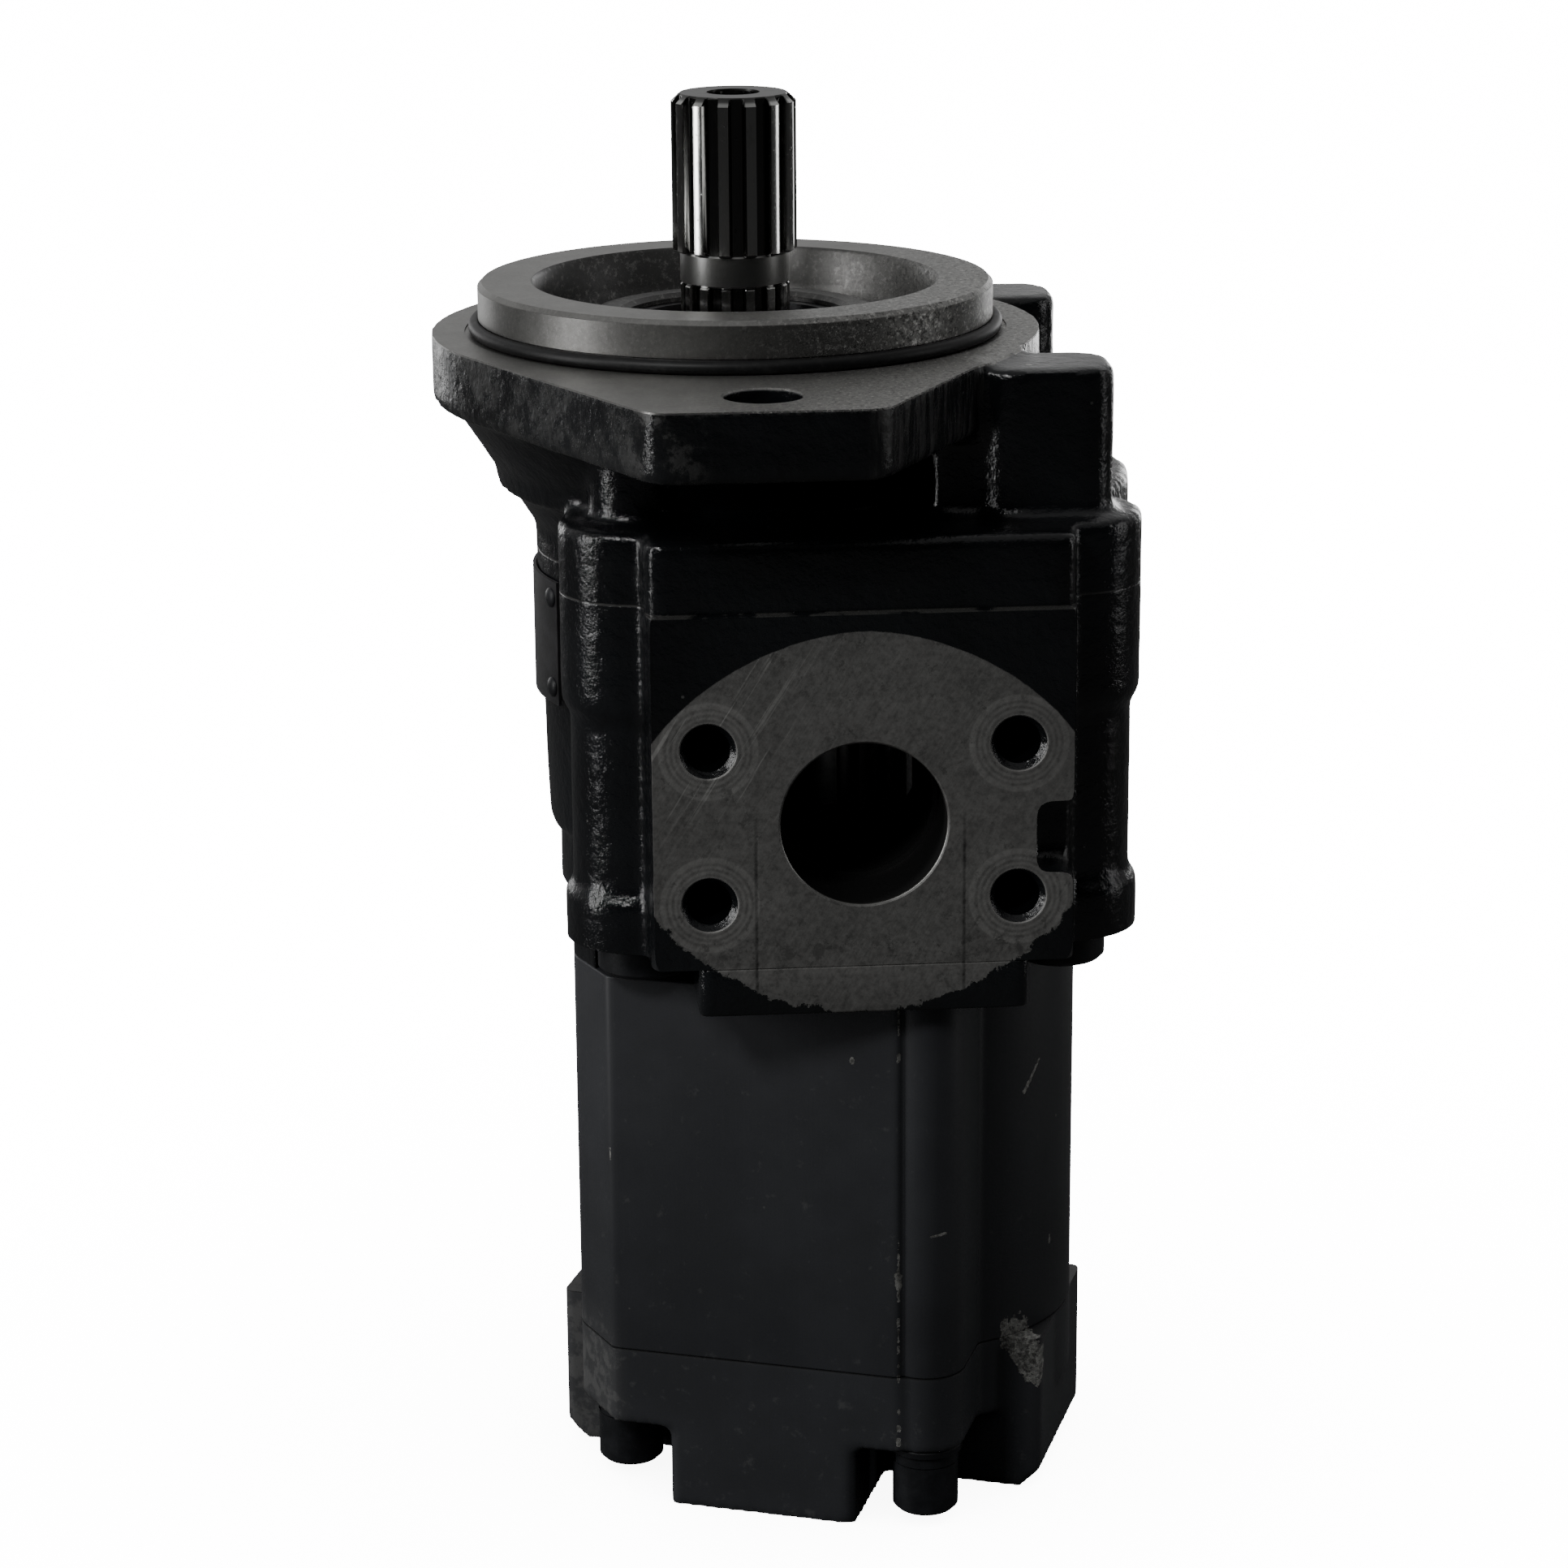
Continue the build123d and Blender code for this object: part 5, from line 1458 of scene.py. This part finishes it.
@dataclass
class RearPump:
    """Adapter plate, extruded rear body and rear cover.

    Attributes:
        palette: The finishes.
        step: Spacing of the outlines' points, in metres.
    """

    palette: Palette
    step: float = 0.6 * MM

    def build_plate(self) -> None:
        """Adapter plate with eased edges."""
        node = "adapter_plate"
        low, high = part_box(node)
        loop = soft_loop(even_loop(outline_of(node, Axis.Z, (low.z + high.z) / 2), self.step), 2)
        plate = prism("adapter_plate_casting", loop, Axis.Z, low.z, high.z, 0.5 * MM)
        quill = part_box("coupling_quill")
        carve(plate, [axis_pin("quill_hole", quill, low.z - 2 * MM, high.z + 2 * MM, 8.5 * MM)])
        dress(plate, self.palette.plate, 40.0)
        install(plate, Body.HOUSING, Slot.CASTING, node)

    def build_body(self) -> None:
        """Extruded body with eased corners, its gear chamber and its outlet port."""
        node = "rear_body"
        low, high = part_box(node)
        loop = soft_loop(even_loop(outline_of(node, Axis.Z, (low.z + high.z) / 2), self.step), 3)
        body = prism("rear_body_extrusion", loop, Axis.Z, low.z, high.z, 0.35 * MM)
        below, over = low.z - 2 * MM, high.z + 2 * MM
        cutters = [
            axis_pin("chamber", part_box(gear), below, over, 20.29 * MM)
            for gear in ("rear_drive_gear", "rear_idler_gear")]
        _, way, sizes = mount("rear_outlet_port")
        centre, _, pattern = mount("rear_outlet_bolts")
        bore, depth = sizes["r_mm"] * MM, sizes["length_mm"] * MM
        cutters.append(pin("outlet", centre + way * 2 * MM, -way, depth + 2 * MM, bore))
        cutters.append(pin("throat", centre - way * (depth - 1 * MM), -way, 22 * MM, bore * 0.906))
        cutters.append(pin(
            "outlet_mouth", centre + way * 0.4 * MM, -way, 1.0 * MM, bore + 1.0 * MM, bore - 0.3 * MM))
        side, tap = way.cross(UP), pattern["hole_r_mm"] * MM
        for angle in (45, 135, 225, 315):
            turn = math.radians(angle)
            spot = centre + (side * math.cos(turn) + UP * math.sin(turn)) * pattern["pcd_mm"] / 2 * MM
            cutters.append(pin("tap", spot + way * 2 * MM, -way, 15 * MM, tap))
            cutters.append(pin(
                "tap_mouth", spot + way * 0.4 * MM, -way, 1.4 * MM, tap + 1.1 * MM, tap - 0.3 * MM))
        for box in solids_of("rear_bolts"):
            cutters.append(axis_pin("bolt_hole", box, below, over, 4.3 * MM))
        carve(body, cutters)
        dress(body, self.palette.extrusion, 40.0)
        install(body, Body.HOUSING, Slot.EXTRUSION, node)

    def build_cover(self) -> None:
        """Rear cover with eased edges and a flat joint face."""
        node = "rear_cover"
        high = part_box(node)[1]
        loop = outline_of(node, Axis.Z, high.z - 2 * MM)
        stock = [node_copy(node), prism("joint_stock", loop, Axis.Z, high.z - 3 * MM, high.z + 1.5 * MM)]
        cover = as_cast("rear_cover_casting", stock, 0.95 * MM, 3, 0.0)
        top = high.z / MM
        carve(cover, [slab("facing", (-100, -100, top), (120, 100, top + 10))])
        dress(cover, self.palette.extrusion, 50.0)
        install(cover, Body.HOUSING, Slot.EXTRUSION, node)

    def build(self) -> None:
        """Make the rear pump's outside."""
        self.build_plate()
        self.build_body()
        self.build_cover()


@dataclass
class HardwareKit:
    """Screws, washers and rivets, each kind made by one geometry tree.

    Attributes:
        palette: The finishes.
        facets: Facets round a screw.
        gap: Gap of a spring washer, in degrees.
    """

    palette: Palette
    facets: int = 48
    gap: float = 14.0

    def points(self, name: str, spots: Sequence[Vector]) -> bpy.types.Object:
        """An object whose vertices are the places of one kind of fastener."""
        mesh = bpy.data.meshes.new(name)
        mesh.from_pydata([tuple(spot) for spot in spots], [], [])
        return new_object(name, mesh)

    def tree(
        self, name: str, sizes: Mapping[str, float],
    ) -> tuple[Graph, dict[str, Value], bpy.types.NodeTree]:
        """Start a geometry tree with named inputs.

        Args:
            name: The tree's name.
            sizes: Input name to its default, in metres.

        Returns:
            The graph, its inputs by name and the tree.
        """
        tree = bpy.data.node_groups.new(name, "GeometryNodeTree")
        face = tree.interface
        face.new_socket("Geometry", in_out="INPUT", socket_type="NodeSocketGeometry")
        for label in sizes:
            face.new_socket(label, in_out="INPUT", socket_type="NodeSocketFloat")
        face.new_socket("Geometry", in_out="OUTPUT", socket_type="NodeSocketGeometry")
        graph = Graph(tree)
        entry = graph.raw("NodeGroupInput", {}, {})
        inputs = {socket.name: Value(graph, socket) for socket in entry.outputs if socket.name}
        return graph, inputs, tree

    def place_all(self, graph: Graph, points: Value, piece: Value, turn: Value | None = None) -> None:
        """Instance a piece on the points, realize it, set its material and end the tree.

        Args:
            graph: The tree's graph.
            points: The points.
            piece: The piece.
            turn: Rotation of each copy, if they differ.
        """
        values = {"Points": points, "Instance": piece}
        if turn:
            values["Rotation"] = turn
        copies = graph.node("GeometryNodeInstanceOnPoints", values=values)
        real = graph.node("GeometryNodeRealizeInstances", values={0: copies})
        painted = {"Geometry": real, "Material": self.palette.fastener}
        graph.raw("NodeGroupOutput", {}, {0: graph.node("GeometryNodeSetMaterial", values=painted)})

    def run(
        self, name: str, spots: Sequence[Vector], tree: bpy.types.NodeTree, sizes: Mapping[str, float],
        sharp: float = 30.0,
    ) -> bpy.types.Object:
        """Run a tree on the fasteners' places and keep the result as a mesh.

        Args:
            name: The piece's name.
            spots: The places, in metres.
            tree: The geometry tree.
            sizes: Its inputs.
            sharp: Edges that turn more than this many degrees stay sharp.

        Returns:
            The piece.
        """
        thing = self.points(name, spots)
        modifier = thing.modifiers.new("make", "NODES")
        modifier.node_group = tree
        identifiers = {
            item.name: item.identifier for item in tree.interface.items_tree if item.in_out == "INPUT"}
        for label, size in sizes.items():
            modifier[identifiers[label]] = size
        evaluated(thing)
        dress(thing, self.palette.fastener, sharp)
        return thing

    def screws(
        self, name: str, node: str, seat: float, head: float, shank: float, socket: float,
    ) -> None:
        """Socket-head screws that point up, in place of a CAD node.

        Args:
            name: The piece's name.
            node: The CAD node that holds the screws.
            seat: Level of the heads' seats, in metres.
            head: Head radius, in metres.
            shank: Shank radius, in metres.
            socket: Width of the hexagon socket, in metres.
        """
        boxes = solids_of(node)
        bottom = boxes[0][0].z
        tip = boxes[0][1].z
        sizes = {
            "Head radius": head, "Head height": seat - bottom, "Edge": 0.9 * MM,
            "Shank radius": shank, "Shank length": tip - seat, "Socket width": socket}
        graph, size, tree = self.tree(name + "_tree", sizes)
        height = size["Head height"]

        def cylinder(radius: Any, depth: Any, shift: Any, vertices: int) -> Value:
            """Cylinder whose middle is shifted along Z."""
            mesh = graph.node("GeometryNodeMeshCylinder", values={
                "Vertices": vertices, "Radius": radius, "Depth": depth})
            move = graph.node("ShaderNodeCombineXYZ", values={"Z": shift})
            return graph.node("GeometryNodeTransform", values={"Geometry": mesh, "Translation": move})

        cap = cylinder(size["Head radius"], height, height * -0.5, self.facets)
        cone = graph.node("GeometryNodeMeshCone", values={
            "Vertices": self.facets, "Radius Bottom": size["Head radius"] - size["Edge"],
            "Radius Top": size["Head radius"] - size["Edge"] + height * 1.1, "Depth": height * 1.1})
        lower = graph.node("ShaderNodeCombineXYZ", values={"Z": height * -1.0})
        cone = graph.node("GeometryNodeTransform", values={"Geometry": cone, "Translation": lower})
        cap = self.combine(graph, "INTERSECT", cap, cone)
        key = cylinder(size["Socket width"] / math.sqrt(3), height * 1.1, height * -1.0, 6)
        cap = self.combine(graph, "DIFFERENCE", cap, key)
        stem = cylinder(
            size["Shank radius"], size["Shank length"] + 0.4 * MM, size["Shank length"] * 0.5 - 0.2 * MM,
            self.facets)
        screw = self.combine(graph, "UNION", cap, stem)
        self.place_all(graph, size["Geometry"], screw)
        spots = [Vector(((a.x + b.x) / 2, (a.y + b.y) / 2, seat)) for a, b in boxes]
        install(self.run(name, spots, tree, sizes), Body.HOUSING, Slot.FASTENER, node)

    def combine(self, graph: Graph, operation: str, first: Value, second: Value) -> Value:
        """Mesh boolean of two pieces."""
        node = graph.raw("GeometryNodeMeshBoolean", {"operation": operation, "solver": "EXACT"}, {})
        body_input = "Mesh 1" if operation == "DIFFERENCE" else "Mesh 2"
        graph.tree.links.new(first.socket, node.inputs[body_input])
        graph.tree.links.new(second.socket, node.inputs["Mesh 2"])
        return Value(graph, node.outputs["Mesh"])

    def washers(self, name: str, node: str, inner: float, split: float = 0.0) -> None:
        """Round washers with eased edges, in place of a CAD node.

        Args:
            name: The piece's name.
            node: The CAD node that holds the washers.
            inner: Hole radius, in metres.
            split: Width of the gap of a split washer in degrees, or 0 for a plain one.
        """
        boxes = solids_of(node)
        low, high = boxes[0]
        sizes = {"Outer radius": (high.x - low.x) / 2, "Inner radius": inner, "Thickness": high.z - low.z}
        graph, size, tree = self.tree(name + "_tree", sizes)
        middle = (size["Outer radius"] + size["Inner radius"]) * 0.5
        width = size["Outer radius"] - size["Inner radius"]
        if split:
            path = graph.node("GeometryNodeCurveArc", values={
                "Resolution": self.facets, "Radius": middle, "Start Angle": math.radians(200.0),
                "Sweep Angle": math.radians(360.0 - split)})
        else:
            path = graph.node("GeometryNodeCurvePrimitiveCircle", values={
                "Resolution": self.facets, "Radius": middle})
        section = graph.node("GeometryNodeCurvePrimitiveQuadrilateral", values={
            "Width": width, "Height": size["Thickness"]})
        section = graph.node("GeometryNodeFilletCurve", values={
            "Curve": section, "Radius": 0.25 * MM})
        ring = graph.node("GeometryNodeCurveToMesh", values={
            "Curve": path, "Profile Curve": section, "Fill Caps": True})
        self.place_all(graph, size["Geometry"], ring)
        thing = self.run(name, [(a + b) / 2 for a, b in boxes], tree, sizes, 40.0)
        turn_out(thing)
        install(thing, Body.HOUSING, Slot.FASTENER, node)

    def rivets(self, name: str, node: str) -> None:
        """Dome-headed rivets that stand out from the shaft's axis."""
        boxes = solids_of(node)
        spots = []
        for low, high in boxes:
            centre = (low + high) / 2
            flat = Vector((centre.x, centre.y, 0)).normalized()
            spots.append(flat * 41.2 * MM + Vector((0, 0, centre.z)))
        sizes = {"Head radius": 2.0 * MM, "Shank radius": 1.2 * MM, "Shank length": 4.4 * MM}
        graph, size, tree = self.tree(name + "_tree", sizes)
        dome = graph.node("GeometryNodeMeshUVSphere", values={
            "Segments": 24, "Rings": 16, "Radius": size["Head radius"]})
        flat_dome = graph.node("GeometryNodeTransform", values={
            "Geometry": dome, "Scale": (1.0, 1.0, 0.42)})
        stem = graph.node("GeometryNodeMeshCylinder", values={
            "Vertices": 24, "Radius": size["Shank radius"], "Depth": size["Shank length"]})
        drop = graph.node("ShaderNodeCombineXYZ", values={"Z": size["Shank length"] * -0.5})
        stem = graph.node("GeometryNodeTransform", values={"Geometry": stem, "Translation": drop})
        rivet = self.combine(graph, "UNION", flat_dome, stem)
        place = graph.node("GeometryNodeInputPosition")
        outward = graph.vector_math("MULTIPLY", {0: place, 1: (1.0, 1.0, 0.0)})
        turn = graph.node(
            "FunctionNodeAlignRotationToVector", {"axis": "Z"}, {"Vector": outward})
        self.place_all(graph, size["Geometry"], rivet, turn)
        install(self.run(name, spots, tree, sizes), Body.HOUSING, Slot.FASTENER, node)

    def build(self) -> None:
        """Make every fastener that shows."""
        front_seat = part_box("front_washers")[0].z
        self.screws("front_screws", "front_bolts", front_seat, 9 * MM, 6 * MM, 8 * MM)
        self.washers("front_plain_rings", "front_washers", 6.3 * MM)
        rear_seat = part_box("rear_spring_washers")[0].z
        self.screws("rear_screws", "rear_bolts", rear_seat, 6.6 * MM, 4 * MM, 6 * MM)
        self.washers("rear_plain_rings", "rear_plain_washers", 4.25 * MM)
        self.washers("rear_spring_rings", "rear_spring_washers", 4.25 * MM, self.gap)
        self.rivets("nameplate_dome_rivets", "nameplate_rivets")


def turn_out(thing: bpy.types.Object) -> None:
    """Point a closed mesh's faces outwards."""
    work = bmesh.new()
    work.from_mesh(thing.data)
    bmesh.ops.recalc_face_normals(work, faces=work.faces)
    work.to_mesh(thing.data)
    work.free()


@dataclass
class InnerWorks:
    """CAD nodes inside the pump, which keep their own meshes.

    Attributes:
        palette: The finishes.
    """

    palette: Palette

    def build(self) -> None:
        """Give each inner node its finish."""
        finishes = {
            Slot.GEAR_STEEL: self.palette.gear, Slot.GROUND_STEEL: self.palette.steel,
            Slot.SPRING_STEEL: self.palette.spring, Slot.BEARING: self.palette.aluminium,
            Slot.BRONZE: self.palette.bronze, Slot.RUBBER: self.palette.rubber,
            Slot.FASTENER: self.palette.fastener, Slot.PLATE: self.palette.tag,
            Slot.CASTING: self.palette.casting, Slot.EXTRUSION: self.palette.extrusion}
        for part in frame["record"]["subparts"]:
            node = frame["nodes"][part["node"]]
            if not node.hide_render and "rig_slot" not in node:
                slot = Slot(part["material_slot"])
                dress_node(node, finishes[slot], slot)


@dataclass
class Studio:
    """Floor, lights and camera.

    Attributes:
        aim: The point that the camera looks at, in millimetres.
        azimuth: The camera's angle round the object, in degrees.
        elevation: Its angle above the horizon.
        roll: Its roll about its own axis.
        distance: Its distance from the aim, in millimetres.
        lens: Focal length for a 36 mm sensor.
    """

    aim: tuple[float, float, float] = (8.916, 0.0, -94.708)
    azimuth: float = -4.43
    elevation: float = 16.29
    roll: float = 0.436
    distance: float = 843.93
    lens: float = 94.79
    floor_echo: float = 0.1
    floor_glow: float = 16.0
    front_glow: float = 0.005
    back_glow: float = 0.62
    sky_glow: float = 0.35
    dusk: tuple[float, float] = (-0.05, 0.75)
    lamps: tuple[tuple[str, float, float, float, tuple[float, float], float], ...] = (
        ("left_window", -77.0, 0.25, 1.1, (0.15, 0.8), 14.0),
        ("left_bounce", -150.0, -0.05, 1.2, (0.5, 0.6), 2.2),
        ("right_window", 84.0, 0.2, 1.2, (0.1, 0.8), 5.0),
        ("right_bounce", 150.0, -0.05, 1.2, (0.5, 0.6), 3.2),
        ("key", -38.0, 1.0, 1.2, (0.3, 0.3), 26.0))

    def build_floor(self, level: float) -> None:
        """Pale glowing floor with a painted contact shadow, dark only to the object's own reflections."""
        reach = 12.0
        mesh = bpy.data.meshes.new("floor")
        corners = ((-reach, -reach), (reach, -reach), (reach, reach), (-reach, reach))
        mesh.from_pydata([(x, y, level) for x, y in corners], [], [(0, 1, 2, 3)])
        floor = new_object("floor", mesh)
        sh = Shader("pale_floor")
        seen = sh.raw("ShaderNodeLightPath", {}, {}).outputs["Is Camera Ray"]
        tone = sh.grain(600.0, 2.0)
        pale = sh.mix(tone, (0.42, 0.42, 0.42), (0.46, 0.46, 0.46))
        colour = sh.mix(seen, (self.floor_echo,) * 3, pale)
        # painted contact shadow: the floor's glow drops to half where ambient occlusion finds the pump close
        # by
        open_sky = sh.node("ShaderNodeAmbientOcclusion", {"samples": 16}, {"Distance": 0.25}, "AO")
        glow = Value(sh, seen) * (0.5 + 0.5 * open_sky) * self.floor_glow
        mesh.materials.append(sh.finish(
            Base_Color=colour, Roughness=0.9, Specular_IOR_Level=0.0,
            Emission_Color=(1.0, 1.0, 1.0, 1.0), Emission_Strength=glow))

    def lamp(
        self, name: str, azimuth: float, height: float, distance: float, size: tuple[float, float],
        glow: float,
    ) -> None:
        """Soft rectangular lamp that faces the pump.

        Args:
            name: The lamp's name.
            azimuth: Its direction from the pump, in degrees: 0 is the front, 90 the right.
            height: Its height over the pump's middle, in metres.
            distance: Its distance from the shaft's axis, in metres.
            size: Width and height, in metres.
            glow: Radiance.
        """
        data = bpy.data.lights.new(name, "AREA")
        data.shape = "RECTANGLE"
        data.size, data.size_y = size
        data.energy = glow * math.pi * size[0] * size[1]
        lamp = bpy.data.objects.new(name, data)
        bpy.context.scene.collection.objects.link(lamp)
        turn = math.radians(azimuth)
        middle = Vector((0.0, 0.0, self.aim[2] * MM))
        way = Vector((math.sin(turn) * distance, -math.cos(turn) * distance, height))
        lamp.location = middle + way
        lamp.rotation_euler = (-way).to_track_quat("-Z", "Y").to_euler()
        lamp.visible_camera = False

    def build_light(self) -> None:
        """Surroundings that are pale behind and dark in front, with lamps at the sides."""
        world = bpy.data.worlds.new("studio")
        bpy.context.scene.world = world
        world.use_nodes = True
        world.node_tree.nodes.clear()
        graph = Graph(world.node_tree)
        place = graph.node("ShaderNodeTexCoord", output="Generated")
        parts = graph.raw("ShaderNodeSeparateXYZ", {}, {0: place}).outputs
        depth, height = Value(graph, parts[1]), Value(graph, parts[2])
        seen = graph.node("ShaderNodeLightPath", output="Is Camera Ray")
        strength = self.front_glow + (self.back_glow - self.front_glow) * depth.ramp(*self.dusk)
        strength = strength + self.sky_glow * height.ramp(0.35, 0.9)
        strength = strength * (1 - seen) + seen * self.floor_glow
        background = graph.node("ShaderNodeBackground", values={"Strength": strength})
        graph.raw("ShaderNodeOutputWorld", {}, {"Surface": background})
        for name, *numbers in self.lamps:
            self.lamp(name, *numbers)

    def build_camera(self) -> None:
        """Camera at the fitted angle and distance."""
        azimuth, elevation = math.radians(self.azimuth), math.radians(self.elevation)
        back = Vector((
            math.sin(azimuth) * math.cos(elevation), -math.cos(azimuth) * math.cos(elevation),
            math.sin(elevation)))
        right = Vector((math.cos(azimuth), math.sin(azimuth), 0.0))
        up = back.cross(right)
        turn = math.radians(self.roll)
        side = right * math.cos(turn) - up * math.sin(turn)
        top = right * math.sin(turn) + up * math.cos(turn)
        data = bpy.data.cameras.new("camera")
        data.lens = self.lens
        data.sensor_width = 36.0
        data.clip_end = 50.0
        camera = bpy.data.objects.new("camera", data)
        bpy.context.scene.collection.objects.link(camera)
        place = Vector(self.aim) * MM + back * self.distance * MM
        rotation = Matrix((side, top, back)).transposed().to_4x4()
        camera.matrix_world = Matrix.Translation(place) @ rotation
        bpy.context.scene.camera = camera

    def build(self, level: float) -> None:
        """Make the whole stage on a floor at a level."""
        self.build_floor(level)
        self.build_light()
        self.build_camera()


def clear_leftovers() -> None:
    """Remove whatever was in the scene before the frame."""
    kept = set(frame["nodes"].values()) | set(frame["bodies"].values())
    for thing in list(bpy.data.objects):
        if thing not in kept:
            bpy.data.objects.remove(thing)


def main() -> None:
    """Build the pump and its stage."""
    logging.basicConfig(level=logging.INFO, format="%(name)s %(message)s")
    clear_leftovers()
    palette = Palette()
    ShaftEnd(palette).build()
    FrontPump(palette).build()
    RearPump(palette).build()
    HardwareKit(palette).build()
    InnerWorks(palette).build()
    Studio().build(CAD_BOX[0].z)


if __name__ == "__main__":
    main()
